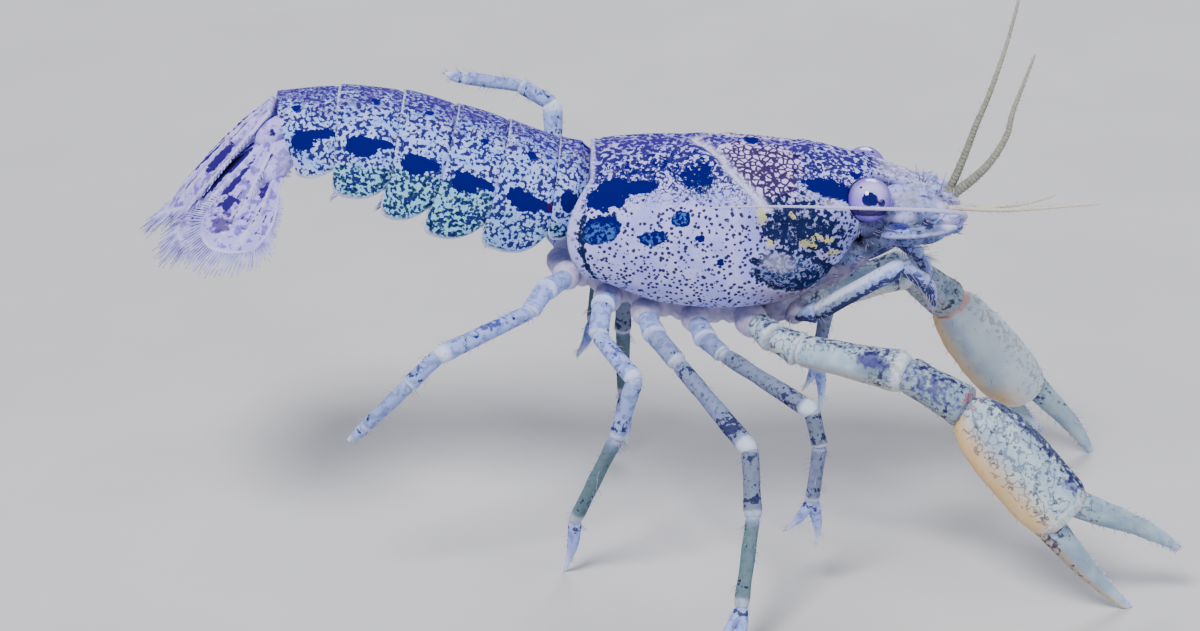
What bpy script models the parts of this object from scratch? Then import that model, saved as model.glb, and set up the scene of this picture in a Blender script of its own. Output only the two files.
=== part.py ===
"""A life-size dwarf crayfish standing on its claw tips and feet.

Metres, +Z up, the head towards +X, the floor at Z = 0. Every shell plate, limb piece, feeler and tail
blade is one closed solid of its own, and neighbours meet face to face with a small gap between them.
"""

import math
from typing import NamedTuple

import bmesh
import bpy
from mathutils import Vector

MM = 0.001
GAP = 0.3 * MM
FLOOR = 0.0

# The middle of the body's barrel, above the floor.
BODY_HEIGHT = 14.8 * MM
# Moves the whole animal so that the middle of its box stands over the origin.
SHIFT = Vector((0.29, 1.79, 0.0)) * MM

# Carapace, as cross-sections from its rear rim to the eyes: how far forward each one is, its top above
# the body's middle, its half-width, the height of its widest level, and its lower edge's height and
# half-width.
CARAPACE_SECTIONS = (
    (-3.1, 3.45, 3.10, 0.20, -1.85, 2.05),
    (-1.9, 3.60, 3.42, 0.10, -2.30, 2.15),
    (-0.4, 3.68, 3.62, 0.00, -2.85, 2.25),
    (1.6, 3.70, 3.72, 0.00, -3.10, 2.30),
    (3.8, 3.62, 3.70, 0.00, -3.05, 2.30),
    (5.2, 3.48, 3.55, 0.05, -2.85, 2.20),
    (6.4, 3.30, 3.25, 0.20, -2.25, 2.00),
    (7.4, 3.12, 2.85, 0.45, -1.35, 1.75),
    (8.2, 2.98, 2.35, 0.80, -0.30, 1.45),
)
BACK_STEPS = 6
FLANK_STEPS = 4
CARAPACE_LIP = 0.45 * MM
CARAPACE_LIP_DEPTH = 0.75 * MM
CARAPACE_RIM = 0.5 * MM
# The carapace's flanks bulge to the rear: how far at the first sections, the bulge's middle above the
# body's middle, and how far up and down it reaches.
REAR_BULGES = (1.0 * MM, 0.35 * MM)
BULGE_MIDDLE = 0.3 * MM
BULGE_REACH = 2.3 * MM

# Rostrum, from inside the carapace to its tip: how far forward, top above the body's middle, half-width
# and thickness.
ROSTRUM_SECTIONS = (
    (7.0, 3.00, 1.50, 1.10),
    (8.2, 2.96, 1.20, 0.90),
    (9.2, 2.66, 0.98, 0.72),
    (10.2, 2.30, 0.82, 0.62),
    (11.0, 1.98, 0.68, 0.55),
    (11.4, 1.78, 0.40, 0.50),
    (12.0, 1.40, 0.28, 0.45),
    (12.7, 0.98, 0.10, 0.20),
)

EYE_RADIUS = 0.95 * MM
EYE_FORWARD = 8.75 * MM
EYE_OUT = 1.98 * MM
EYE_RISE = 1.62 * MM
EYE_FINENESS = 2

# Thorax underside between the leg bases: how far forward, top and bottom above the body's middle,
# and half-width.
STERNUM_SECTIONS = (
    (-5.0, -1.60, -2.15, 0.75),
    (-4.2, -1.50, -2.60, 1.30),
    (-3.1, -1.50, -3.00, 1.35),
    (-1.9, -1.95, -3.55, 1.35),
    (-0.4, -2.50, -4.20, 1.35),
    (1.6, -2.72, -4.55, 1.35),
    (3.8, -2.70, -4.55, 1.35),
    (5.3, -2.50, -4.05, 1.30),
)
# Mouthparts in front of the leg bases, in the same terms.
MOUTH_SECTIONS = (
    (5.6, -2.35, -3.85, 1.10),
    (6.6, -1.85, -3.50, 1.05),
    (7.5, -1.15, -3.05, 0.85),
    (8.3, -0.62, -2.45, 0.65),
    (9.2, -0.62, -1.75, 0.55),
)

# Abdomen stations along its back: how far forward, height above the body's middle, upward slope towards
# the rear in degrees, half-width and height of the back's arch.
ABDOMEN_STATIONS = (
    (-3.40, 3.46, 6.0, 2.12, 2.80),
    (-4.40, 3.62, 8.0, 2.50, 2.85),
    (-6.55, 4.36, 15.0, 3.08, 2.90),
    (-8.75, 5.05, 16.0, 3.05, 2.80),
    (-11.05, 5.68, 10.0, 2.90, 2.65),
    (-13.80, 5.92, 2.0, 2.60, 2.35),
    (-16.45, 5.68, -8.0, 2.15, 1.90),
)
# How far the side plates of each segment hang below its middle, how fast they sweep to the rear, and
# their outline as shares of the half-width and of the depth.
PLEURA_DEPTHS = (0.95, 1.95, 2.15, 2.05, 1.65, 1.15)
PLEURA_THICKNESS = 0.45 * MM
PLEURA_SWEEP = 0.35
PLEURA_OUTLINE = ((0.995, 0.5), (0.96, 0.88), (0.90, 1.0))
STERNITE_DEPTH = 0.75 * MM
SHALLOWEST_PLEURA = 0.83 * MM
# Rings along a segment: their shares of its length, of its side plates' depth, and of its girth.
SEGMENT_STEPS = (0.0, 0.14, 0.38, 0.66, 0.88, 1.0)
PLEURA_LOBE = (0.04, 0.55, 1.0, 1.0, 0.62, 0.08)
SEGMENT_SWELL = (0.95, 1.0, 1.01, 1.02, 1.03, 1.03)

# Swimmerets hang in pairs of a long and a short paddle: each leans outwards or inwards and has a length.
SWIMMERET_OUT = 1.05 * MM
SWIMMERET_ROOT_DEPTH = 0.5 * MM
SWIMMERET_PADDLES = ((0.20, 2.7 * MM), (-0.25, 2.38 * MM))
SEGMENTS_WITH_SWIMMERETS = (1, 2, 3, 4)


class Blade(NamedTuple):
    """A tail blade: its root, spread and slope below level in degrees, length, half-widths and fringe."""

    root: tuple
    spread: float
    slope: float
    length: float
    root_width: float
    full_width: float
    cup: float
    locks: int
    ribs: tuple


TELSON = Blade((-17.00, 0.00, 4.85), 0.0, 45.0, 6.80 * MM, 1.00 * MM, 1.42 * MM, 0.25 * MM, 7,
               (-0.6, 0.0, 0.6))
INNER = Blade((-16.95, 1.38, 3.70), 14.0, 45.0, 5.80 * MM, 0.42 * MM, 1.32 * MM, 0.25 * MM, 7, (0.0,))
OUTER = Blade((-16.85, 1.95, 2.50), 45.0, 45.0, 4.70 * MM, 0.42 * MM, 1.45 * MM, 0.25 * MM, 8, (0.0, 0.55))
BLADE_HALF_THICKNESS = 0.25 * MM
BLADE_ROWS = 6
RIB_HEIGHT = 0.20 * MM
RIB_SHARE = 0.14
FRINGE_LENGTH = 1.15 * MM
FRINGE_TAPER = ((0.5, 0.62), (1.0, 0.22))

# Walking legs by side and pair: joints in millimetres above the floor, from the leg's base to its tip.
# The last point of a pincer leg is the tip of its second finger.
LEG_JOINTS = {
    ("right", 2): ((1.42, -1.65, 10.80), (1.84, -3.00, 10.40), (2.55, -3.80, 10.08), (6.24, -6.60, 8.64),
                   (6.59, -6.80, 7.12), (6.33, -6.40, 4.43), (6.60, -6.00, 2.18), (5.21, -6.20, 2.89)),
    ("right", 3): ((-0.73, -1.65, 11.10), (-0.35, -3.20, 10.67), (0.61, -4.60, 10.00), (3.57, -8.50, 7.69),
                   (3.68, -10.00, 5.30), (3.16, -12.00, 2.11), (2.95, -13.10, -0.12), (1.95, -12.90, 0.55)),
    ("right", 4): ((-2.36, -1.65, 11.75), (-2.60, -3.00, 12.00), (-2.78, -4.40, 11.16), (-1.23, -6.40, 10.02),
                   (-1.98, -6.20, 7.27), (-3.78, -4.80, 2.76), (-4.27, -4.20, -0.12)),
    ("right", 5): ((-4.15, -1.65, 12.75), (-5.04, -3.20, 12.78), (-5.67, -4.00, 12.10), (-9.49, -6.60, 11.16),
                   (-10.72, -6.90, 9.96), (-12.68, -6.40, 7.78), (-13.40, -6.20, 7.10)),
    ("left", 2): ((1.42, 1.65, 10.80), (2.10, 3.00, 10.60), (3.10, 4.20, 10.60), (6.90, 6.60, 10.60),
                  (7.55, 5.40, 8.80), (6.95, 3.10, 7.00), (7.13, 2.90, 4.60), (6.35, 2.90, 5.57)),
    ("left", 3): ((-0.73, 1.65, 11.10), (-0.50, 3.10, 10.90), (-0.60, 4.40, 10.70), (-1.60, 8.00, 8.60),
                  (-1.65, 8.90, 6.00), (-1.60, 8.60, 3.00), (-2.45, 8.00, -0.12), (-1.50, 8.10, 0.60)),
    ("left", 4): ((-2.36, 1.65, 11.75), (-2.60, 3.00, 12.00), (-2.70, 4.30, 11.60), (-2.80, 7.20, 11.30),
                  (-2.75, 7.60, 9.40), (-3.00, 6.00, 7.60), (-3.75, 5.00, 6.30)),
    ("left", 5): ((-4.15, 1.65, 12.75), (-4.60, 3.20, 13.00), (-4.70, 4.00, 13.90), (-4.80, 6.50, 17.80),
                  (-6.20, 7.20, 18.40), (-8.80, 7.75, 18.60), (-9.64, 7.80, 18.80)),
}
LEG_RADII = (0.52, 0.62, 0.50, 0.44, 0.42, 0.36, 0.12)
LEG_TIP = 0.12 * MM
LEG_BREAKS = (0, 2, 3, 6)
LEG_PIECES = ("base", "thigh", "shank")
LEG_SIDES = 7
PINCER_PAIRS = (2, 3)
# The second finger's radii, from its root to its tip.
PINCER_RADII = (0.27, 0.25, 0.10)

# A limb's pieces swell between its joints and are drawn in at them.
JOINT_WAIST = 0.80
ARTICLE_SHARES = (0.16, 0.50, 0.86)
ARTICLE_SWELLS = (1.00, 0.95, 1.06)
TIP_SHARES = (0.2, 0.6)
TIP_SWELLS = (0.92, 0.62)

# Claw limbs by side: joints in millimetres above the floor from the base to the end of the palm, then
# the tips of the fixed finger and of the moving finger.
CLAW_JOINTS = {
    "right": ((3.83, -1.65, 10.75), (4.79, -3.00, 10.49), (5.84, -3.60, 10.19), (10.25, -5.40, 9.88),
              (12.72, -6.60, 8.78), (16.81, -7.90, 4.52)),
    "left": ((3.83, 1.65, 10.75), (4.80, 2.95, 10.35), (7.02, 3.40, 9.85), (10.90, 5.00, 10.58),
             (12.99, 6.40, 8.49), (16.55, 8.60, 3.24)),
}
CLAW_TIPS = {
    "right": ((19.90, -7.75, -0.15), (22.00, -6.60, 2.20)),
    "left": ((17.60, 8.30, 1.27), (19.95, 8.60, -0.15)),
}
CLAW_RADII = (0.62, 0.74, 0.86, 0.98, 1.00, 1.25)
CLAW_BREAKS = (0, 2, 3, 4)
CLAW_PIECES = ("base", "arm", "wrist")
PALM_HALF_WIDTH = 1.60 * MM
PALM_HALF_DEPTH = 1.10 * MM
# Rings along the palm: shares of its length and of its half-width.
PALM_RINGS = ((0.0, 0.50), (0.14, 0.80), (0.38, 0.96), (0.70, 1.0), (0.92, 0.94), (1.0, 0.84))
# The fingers: how far from the palm's middle they are rooted, as a share of its half-width, how far
# each one bows outwards, and its radii from root to tip.
FINGER_ROOT_SHARE = 0.49
FIXED_BOW = 0.16 * MM
MOVING_BOW = 0.22 * MM
FINGER_SINK = 1.0 * MM
FIXED_RADII = (0.60, 0.66, 0.43, 0.11)
MOVING_RADII = (0.50, 0.59, 0.42, 0.11)

# Feelers. Stems are above the body's middle, the antennules' branches above the floor.
ANTENNULE_STEM = ((8.55, 0.55, 0.45), (10.2, 0.60, 0.58), (11.9, 0.78, 0.70))
ANTENNULE_STEM_RADII = (0.34, 0.37, 0.31)
ANTENNULE_BRANCHES = {
    "left": (
        ((11.6, 0.80, 15.45), (12.35, 0.92, 15.85), (12.90, 0.95, 17.10), (13.45, 0.98, 18.75),
         (14.00, 1.05, 20.20), (14.70, 1.30, 22.45), (15.30, 1.60, 25.00)),
        ((11.6, 0.80, 15.45), (12.60, 0.75, 15.75), (13.90, 0.55, 17.00), (14.70, 0.35, 18.45),
         (14.95, 0.20, 19.70), (15.75, 0.00, 22.25)),
    ),
    "right": (
        ((11.6, -0.80, 15.45), (12.50, -0.90, 15.65), (13.60, -0.95, 15.60), (15.15, -1.05, 15.62),
         (18.60, -1.20, 15.95)),
        ((12.2, -0.86, 15.58), (13.70, -0.80, 15.62), (15.40, -0.78, 15.78), (16.80, -0.75, 16.20)),
    ),
}
BRANCH_ROOT_RADIUS = 0.27 * MM
BRANCH_TIP_RADIUS = 0.07 * MM

ANTENNA_STEM = ((8.55, 1.52, 0.05), (10.3, 1.55, 0.08), (12.4, 1.52, 0.22))
ANTENNA_STEM_RADII = (0.40, 0.44, 0.38)
# The right long feeler sweeps back over the eye. The left one hangs lower, behind the head.
ANTENNA_SWEEPS = {
    "right": ((12.10, 1.52, 0.22), (12.75, 1.85, 0.66), (12.70, 2.50, 1.16), (11.80, 3.00, 1.48),
              (10.20, 3.15, 1.62), (7.80, 3.50, 1.82), (5.40, 3.95, 2.05), (3.10, 4.25, 2.15),
              (1.60, 4.45, 2.15)),
    "left": ((12.10, 1.52, 0.22), (12.85, 1.90, 0.02), (12.70, 2.80, -0.28), (11.60, 3.30, -0.35),
             (10.20, 3.40, -0.30), (7.80, 3.65, -0.10), (5.40, 4.05, 0.05), (3.10, 4.35, 0.15),
             (1.60, 4.50, 0.20)),
}
WHIP_ROOT_RADIUS = 0.29 * MM
WHIP_TIP_RADIUS = 0.14 * MM

# The pointed plate beside each long feeler: its middle line above the body's middle, and half-widths.
SCALE_LINE = ((9.55, 2.52, 0.28), (10.3, 2.74, 0.40), (11.2, 2.74, 0.50), (11.9, 2.62, 0.56),
              (12.4, 2.55, 0.60))
SCALE_HALF_WIDTHS = (0.30, 0.50, 0.54, 0.38, 0.12)
SCALE_HALF_THICKNESS = 0.25 * MM
SCALE_TIP_HALF_THICKNESS = 0.14 * MM

# The leg-like mouthparts: joints above the floor, and their radii.
MAXILLIPED_JOINTS = ((5.7, 1.65, 11.1), (6.6, 2.05, 11.3), (10.2, 1.75, 13.3), (11.3, 1.55, 12.5),
                     (11.7, 1.40, 11.3))
MAXILLIPED_RADII = (0.45, 0.52, 0.45, 0.36, 0.15)
MAXILLIPED_TIP = 0.14 * MM

LILAC = (0.60, 0.58, 0.80)
PALE = (0.78, 0.79, 0.88)
CREAM = (0.80, 0.76, 0.70)
EYE_COLOUR = (0.55, 0.45, 0.75)
SHELL_ROUGHNESS = 0.45
EYE_ROUGHNESS = 0.15
SHARP_ANGLE = math.radians(40.0)

SIDEWAYS = Vector((0.0, 1.0, 0.0))
SIDES = (("left", 1), ("right", -1))


def at_body(x, y, z):
    """A point given in millimetres forward, to the left and above the body's middle."""
    return Vector((x * MM, y * MM, z * MM + BODY_HEIGHT))


def at_floor(x, y, z):
    """A point given in millimetres forward, to the left and above the floor."""
    return Vector((x, y, z)) * MM


def clear_scene():
    """Remove what the scene holds at the start."""
    for item in list(bpy.data.objects):
        bpy.data.objects.remove(item)


def make_material(name, colour, roughness):
    """A plain shell material with a colour and a roughness."""
    material = bpy.data.materials.new(name)
    material.use_nodes = True
    shader = material.node_tree.nodes["Principled BSDF"]
    shader.inputs["Base Color"].default_value = (*colour, 1.0)
    shader.inputs["Roughness"].default_value = roughness
    shader.inputs["Metallic"].default_value = 0.0
    return material


def turn_outwards(mesh):
    """Turn an edited mesh's faces so that they all point out of it."""
    bmesh.ops.recalc_face_normals(mesh, faces=mesh.faces)
    if mesh.calc_volume(signed=True) < 0.0:
        bmesh.ops.reverse_faces(mesh, faces=mesh.faces)


def mesh_object(mesh):
    """A scene object from an edited mesh, its faces all triangles and turned outwards."""
    bmesh.ops.triangulate(mesh, faces=mesh.faces, ngon_method="EAR_CLIP")
    turn_outwards(mesh)
    data = bpy.data.meshes.new("piece")
    mesh.to_mesh(data)
    mesh.free()
    item = bpy.data.objects.new("piece", data)
    bpy.context.scene.collection.objects.link(item)
    return item


def connected_group(start):
    """The vertices that edges join to a first one."""
    group = {start}
    waiting = [start]
    while waiting:
        vert = waiting.pop()
        for edge in vert.link_edges:
            other = edge.other_vert(vert)
            if other not in group:
                group.add(other)
                waiting.append(other)
    return group


def keep_largest(item):
    """Leave only the largest closed surface of an object's mesh."""
    mesh = bmesh.new()
    mesh.from_mesh(item.data)
    left = set(mesh.verts)
    groups = []
    while left:
        group = connected_group(next(iter(left)))
        left -= group
        groups.append(group)
    groups.sort(key=len)
    for group in groups[:-1]:
        bmesh.ops.delete(mesh, geom=list(group), context="VERTS")
    mesh.to_mesh(item.data)
    mesh.free()


def combine(item, others, operation, solver="EXACT"):
    """Join the others to an object, or cut them from it, by one applied Boolean."""
    group = bpy.data.collections.new("pieces")
    bpy.context.scene.collection.children.link(group)
    for other in others:
        bpy.context.scene.collection.objects.unlink(other)
        group.objects.link(other)
    step = item.modifiers.new("join", "BOOLEAN")
    step.operation = operation
    step.operand_type = "COLLECTION"
    step.collection = group
    step.solver = solver
    bpy.context.view_layer.update()
    graph = bpy.context.evaluated_depsgraph_get()
    result = bpy.data.meshes.new_from_object(item.evaluated_get(graph))
    item.modifiers.remove(step)
    item.data = result
    for other in others:
        bpy.data.objects.remove(other)
    bpy.data.collections.remove(group)
    keep_largest(item)
    return item


def cut_at_floor(item):
    """Trim an object at the floor where it reaches below it, to a small flat."""
    if min(vert.co.z for vert in item.data.vertices) >= FLOOR:
        return
    mesh = bmesh.new()
    mesh.from_mesh(item.data)
    geometry = list(mesh.verts) + list(mesh.edges) + list(mesh.faces)
    cut = bmesh.ops.bisect_plane(mesh, geom=geometry, plane_co=(0.0, 0.0, FLOOR),
                                 plane_no=(0.0, 0.0, -1.0), clear_outer=True)
    rim = [part for part in cut["geom_cut"] if isinstance(part, bmesh.types.BMEdge)]
    bmesh.ops.contextual_create(mesh, geom=rim)
    bmesh.ops.triangulate(mesh, faces=mesh.faces)
    turn_outwards(mesh)
    mesh.to_mesh(item.data)
    mesh.free()


def finish(item, name, colour, roughness=SHELL_ROUGHNESS):
    """Trim a node at the floor, name it, move it to its place, colour it and shade it smooth."""
    cut_at_floor(item)
    item.name = name
    item.data.name = name
    item.data.materials.clear()
    item.data.materials.append(make_material(name, colour, roughness))
    item.data.shade_smooth()
    item.data.set_sharp_from_angle(angle=SHARP_ANGLE)
    item.location = SHIFT


def loft(rings):
    """A closed solid through rings of equal length, each end closed by a flat face."""
    mesh = bmesh.new()
    rows = [[mesh.verts.new(point) for point in ring] for ring in rings]
    count = len(rows[0])
    for low, high in zip(rows, rows[1:]):
        for i in range(count):
            j = (i + 1) % count
            mesh.faces.new((low[i], low[j], high[j]))
            mesh.faces.new((low[i], high[j], high[i]))
    mesh.faces.new(rows[0])
    mesh.faces.new(rows[-1])
    return mesh_object(mesh)


def oval_ring(centre, along, plane, side, size, count):
    """An oval across a direction, slid along it onto the plane through its centre."""
    across = (side - along * side.dot(along)).normalized()
    upward = along.cross(across)
    points = []
    for i in range(count):
        turn = math.tau * (i + 0.5) / count
        offset = across * (size[0] * math.cos(turn)) + upward * (size[1] * math.sin(turn))
        points.append(centre + offset - along * (offset.dot(plane) / along.dot(plane)))
    return points


def tube(path, sizes, side, count=LEG_SIDES, start=None, end=None):
    """A closed tube of oval rings along a path. A size is a half-width and a half-height."""
    last = len(path) - 1
    rings = []
    for i, (point, size) in enumerate(zip(path, sizes)):
        before = (path[i] - path[max(i - 1, 0)]).normalized()
        after = (path[min(i + 1, last)] - path[i]).normalized()
        along = after if i < last else before
        plane = (before + after).normalized()
        if i == 0 and start is not None:
            plane = start
        if i == last and end is not None:
            plane = end
        rings.append(oval_ring(point, along, plane, side, size, count))
    return loft(rings)


def round_sizes(radii):
    """Equal half-widths and half-heights from radii in millimetres."""
    return [(radius * MM, radius * MM) for radius in radii]


def barrel_half(top, width, level, edge, out, lip, lip_depth):
    """Half of a barrel's cross-section, from the back's middle round to the middle of the underside."""
    points = []
    for i in range(BACK_STEPS + 1):
        turn = math.radians(90.0 * i / BACK_STEPS)
        points.append((width * math.sin(turn), level + (top - level) * math.cos(turn)))
    for i in range(1, FLANK_STEPS + 1):
        turn = math.radians(90.0 * i / FLANK_STEPS)
        points.append((out + (width - out) * math.cos(turn), level - (level - edge) * math.sin(turn)))
    points.append((out - lip, edge + 0.1 * lip))
    points.append((out - 1.1 * lip, edge + lip_depth))
    points.append((0.0, edge + lip_depth))
    return points


def whole_ring(x, half, bulge=0.0):
    """A ring across the body from half a section. The bulge moves its flanks to the rear."""
    points = []
    order = [(y, z) for y, z in half] + [(-y, z) for y, z in reversed(half[1:-1])]
    for y, z in order:
        share = max(0.0, 1.0 - ((z - BULGE_MIDDLE) / BULGE_REACH) ** 2)
        points.append(Vector((x - bulge * share, y, z + BODY_HEIGHT)))
    return points


def make_shield():
    """The carapace's barrel, with a hollow underside and a rounded rim at the rear."""
    rings = []
    for index, row in enumerate(CARAPACE_SECTIONS):
        x, *sizes = (value * MM for value in row)
        bulge = REAR_BULGES[index] if index < len(REAR_BULGES) else 0.0
        rings.append(whole_ring(x, barrel_half(*sizes, CARAPACE_LIP, CARAPACE_LIP_DEPTH), bulge))
    x, top, width, level, edge, out = (value * MM for value in CARAPACE_SECTIONS[0])
    inner = barrel_half(top - CARAPACE_RIM, width - CARAPACE_RIM, level, edge + 0.5 * CARAPACE_RIM,
                        out - 0.3 * CARAPACE_RIM, 0.5 * CARAPACE_LIP, 0.7 * CARAPACE_LIP_DEPTH)
    rings.insert(0, whole_ring(x + 0.02 * MM, inner, 0.85 * REAR_BULGES[0]))
    rings.insert(0, whole_ring(x + 0.05 * MM, inner))
    return loft(rings)


def make_rostrum():
    """The pointed beak over the eyes, slightly hollow on top between its two side ridges."""
    rings = []
    for row in ROSTRUM_SECTIONS:
        x, top, width, thick = (value * MM for value in row)
        low = top - thick
        half = ((0.0, top - 0.12 * width), (0.55 * width, top - 0.04 * width), (0.86 * width, top),
                (width, top - 0.25 * thick), (0.75 * width, low + 0.25 * thick), (0.0, low))
        rings.append(whole_ring(x, half))
    return loft(rings)


def eye_ball(radius, sign):
    """A ball at the place of one eye."""
    mesh = bmesh.new()
    bmesh.ops.create_icosphere(mesh, subdivisions=EYE_FINENESS, radius=radius)
    place = Vector((EYE_FORWARD, EYE_OUT * sign, EYE_RISE + BODY_HEIGHT))
    bmesh.ops.translate(mesh, verts=mesh.verts, vec=place)
    return mesh_object(mesh)


def make_carapace():
    """The shield over head and thorax with its rostrum, hollowed for the eyes."""
    shield = make_shield()
    combine(shield, [make_rostrum()], "UNION")
    combine(shield, [eye_ball(EYE_RADIUS + GAP, sign) for _, sign in SIDES], "DIFFERENCE")
    finish(shield, "carapace", LILAC)


def make_block(name, sections):
    """A low solid along the underside, from sections of top, bottom and half-width."""
    rings = []
    for row in sections:
        x, top, low, width = (value * MM for value in row)
        height = top - low
        half = ((0.0, top), (width * 0.97, top), (width, top - 0.2 * height),
                (width * 0.97, low + 0.25 * height), (width * 0.55, low), (0.0, low))
        rings.append(whole_ring(x, half))
    finish(loft(rings), name, PALE)


def station(share):
    """The abdomen's back point, its rearward and upward directions, half-width and arch at a station."""
    index = min(int(share), len(ABDOMEN_STATIONS) - 2)
    low, high = ABDOMEN_STATIONS[index], ABDOMEN_STATIONS[index + 1]
    x, z, slope, width, arch = (a + (b - a) * (share - index) for a, b in zip(low, high))
    slope = math.radians(slope)
    rearward = Vector((-math.cos(slope), 0.0, math.sin(slope)))
    upward = Vector((math.sin(slope), 0.0, math.cos(slope)))
    return at_body(x, 0.0, z), rearward, upward, width * MM, arch * MM


def segment_ring(share, shift, swell, depth, sweep):
    """One ring of a segment, moved along the body by a shift. Its side plates hang down, swept back."""
    back, rearward, upward, width, arch = station(share)
    middle = back - upward * arch + rearward * shift
    outer = width * swell
    half = []
    for i in range(BACK_STEPS):
        turn = math.radians(90.0 * i / (BACK_STEPS - 1))
        half.append((outer * math.sin(turn), arch * swell * math.cos(turn)))
    half += [(outer * out, -depth * down) for out, down in PLEURA_OUTLINE]
    half.append((half[-1][0] - PLEURA_THICKNESS, -depth + 0.02 * MM))
    half.append((outer - 2.0 * PLEURA_THICKNESS, -STERNITE_DEPTH))
    half.append((0.0, -STERNITE_DEPTH))
    order = half + [(-y, z) for y, z in reversed(half[1:-1])]
    return [middle + upward * z + rearward * (sweep * max(0.0, -z)) + SIDEWAYS * y for y, z in order]


def make_swimmerets(index):
    """The small paddles under one segment, as closed tubes to be joined to it."""
    back, rearward, upward, _, arch = station(index + 0.45)
    root = back - upward * (arch + STERNITE_DEPTH - SWIMMERET_ROOT_DEPTH)
    paddles = []
    for _, sign in SIDES:
        for lean, length in SWIMMERET_PADDLES:
            way = (rearward * 0.62 - upward * 0.80 + SIDEWAYS * (sign * lean)).normalized()
            start = root + SIDEWAYS * (sign * (SWIMMERET_OUT + lean * 0.6 * MM))
            start -= rearward * (lean * 0.3 * MM)
            path = [start + way * (length * share) for share in (0.0, 0.33, 0.60, 1.0)]
            sizes = [(0.30 * MM, 0.26 * MM), (0.28 * MM, 0.26 * MM), (0.40 * MM, 0.25 * MM),
                     (0.14 * MM, 0.12 * MM)]
            paddles.append(tube(path, sizes, SIDEWAYS, 6))
    return paddles


def make_segment(index):
    """One segment of the abdomen, with its hanging side plates and its swimmerets."""
    rings = []
    hang = PLEURA_DEPTHS[index] * MM - SHALLOWEST_PLEURA
    for step, lobe, swell in zip(SEGMENT_STEPS, PLEURA_LOBE, SEGMENT_SWELL):
        sweep = PLEURA_SWEEP * lobe if 0.0 < step < 1.0 else 0.0
        depth = SHALLOWEST_PLEURA + hang * lobe
        rings.append(segment_ring(index + step, GAP * (0.5 - step), swell, depth, sweep))
    body = loft(rings)
    if index in SEGMENTS_WITH_SWIMMERETS:
        combine(body, make_swimmerets(index), "UNION", "MANIFOLD")
    finish(body, f"abdomen_{index + 1}", LILAC)


def blade_axes(blade, sign):
    """A blade's root and its directions along, across and out of its upper face."""
    slope, spread = math.radians(blade.slope), math.radians(blade.spread) * sign
    x, y, z = blade.root
    rearward = Vector((-math.cos(slope), 0.0, -math.sin(slope)))
    upward = Vector((-math.sin(slope), 0.0, math.cos(slope)))
    along = rearward * math.cos(spread) + SIDEWAYS * math.sin(spread)
    across = SIDEWAYS * math.cos(spread) - rearward * math.sin(spread)
    return at_body(x, y * sign, z), along, across, upward


def blade_half_width(blade, share):
    """A blade's half-width at a share of its length: narrow root, wide middle, round end."""
    widest = 0.62
    grown = math.sin(min(share / widest, 1.0) * math.pi / 2.0)
    width = blade.root_width + (blade.full_width - blade.root_width) * grown
    return width * (1.0 - 0.10 * max(0.0, (share - widest) / (1.0 - widest)) ** 2)


def blade_point(blade, axes, sign, share, lateral):
    """A point on a blade's middle surface, and the height of a rib there."""
    root, along, across, upward = axes
    forward = share * blade.length * (1.0 - 0.24 * share * lateral * lateral)
    cup = blade.cup * lateral * lateral * share
    place = root + along * forward + across * (blade_half_width(blade, share) * lateral) - upward * cup
    rib = sum(RIB_HEIGHT * max(0.0, 1.0 - abs(lateral - r * sign) / RIB_SHARE) for r in blade.ribs)
    return place, rib * min(1.0, 2.2 * (1.0 - share))


def skin_blade(mesh, top, low):
    """Close a blade's two faces and its sides, its triangles alike on both faces."""
    for i in range(len(top) - 1):
        for j in range(len(top[0]) - 1):
            for grid in (top, low):
                mesh.faces.new((grid[i][j], grid[i][j + 1], grid[i + 1][j + 1]))
                mesh.faces.new((grid[i][j], grid[i + 1][j + 1], grid[i + 1][j]))
        for j in (0, -1):
            mesh.faces.new((top[i][j], top[i + 1][j], low[i + 1][j], low[i][j]))


def add_lock(mesh, corners, centre, upward):
    """A flat tapered lock of the fringe, grown from four corners on a blade's edge."""
    middle = sum((corner.co for corner in corners), Vector()) / len(corners)
    outward = middle - centre
    outward = (outward - upward * outward.dot(upward)).normalized()
    rows = [corners]
    for reach, width in FRINGE_TAPER:
        rows.append([mesh.verts.new(middle + (corner.co - middle) * width + outward * (reach * FRINGE_LENGTH))
                     for corner in corners])
    for low, high in zip(rows, rows[1:]):
        for i in range(len(corners)):
            j = (i + 1) % len(corners)
            mesh.faces.new((low[i], low[j], high[j], high[i]))
    mesh.faces.new(rows[-1])


def make_blade(name, blade, sign):
    """A tail blade: a thin cupped plate with raised ribs and a fringe of flat tapered locks."""
    axes = blade_axes(blade, sign)
    root, along, _, upward = axes
    columns = 2 * blade.locks
    mesh = bmesh.new()
    top, low = [], []
    for i in range(BLADE_ROWS + 1):
        top.append([])
        low.append([])
        for j in range(columns):
            place, rib = blade_point(blade, axes, sign, i / BLADE_ROWS, 2.0 * j / (columns - 1) - 1.0)
            top[-1].append(mesh.verts.new(place + upward * (BLADE_HALF_THICKNESS + rib)))
            low[-1].append(mesh.verts.new(place - upward * BLADE_HALF_THICKNESS))
    skin_blade(mesh, top, low)
    fringe_centre = root + along * (0.35 * blade.length)
    for j in range(columns - 1):
        mesh.faces.new((top[0][j], top[0][j + 1], low[0][j + 1], low[0][j]))
        corners = (top[-1][j], top[-1][j + 1], low[-1][j + 1], low[-1][j])
        if j % 2:
            mesh.faces.new(corners)
        else:
            add_lock(mesh, corners, fringe_centre, upward)
    finish(mesh_object(mesh), name, PALE)


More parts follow.
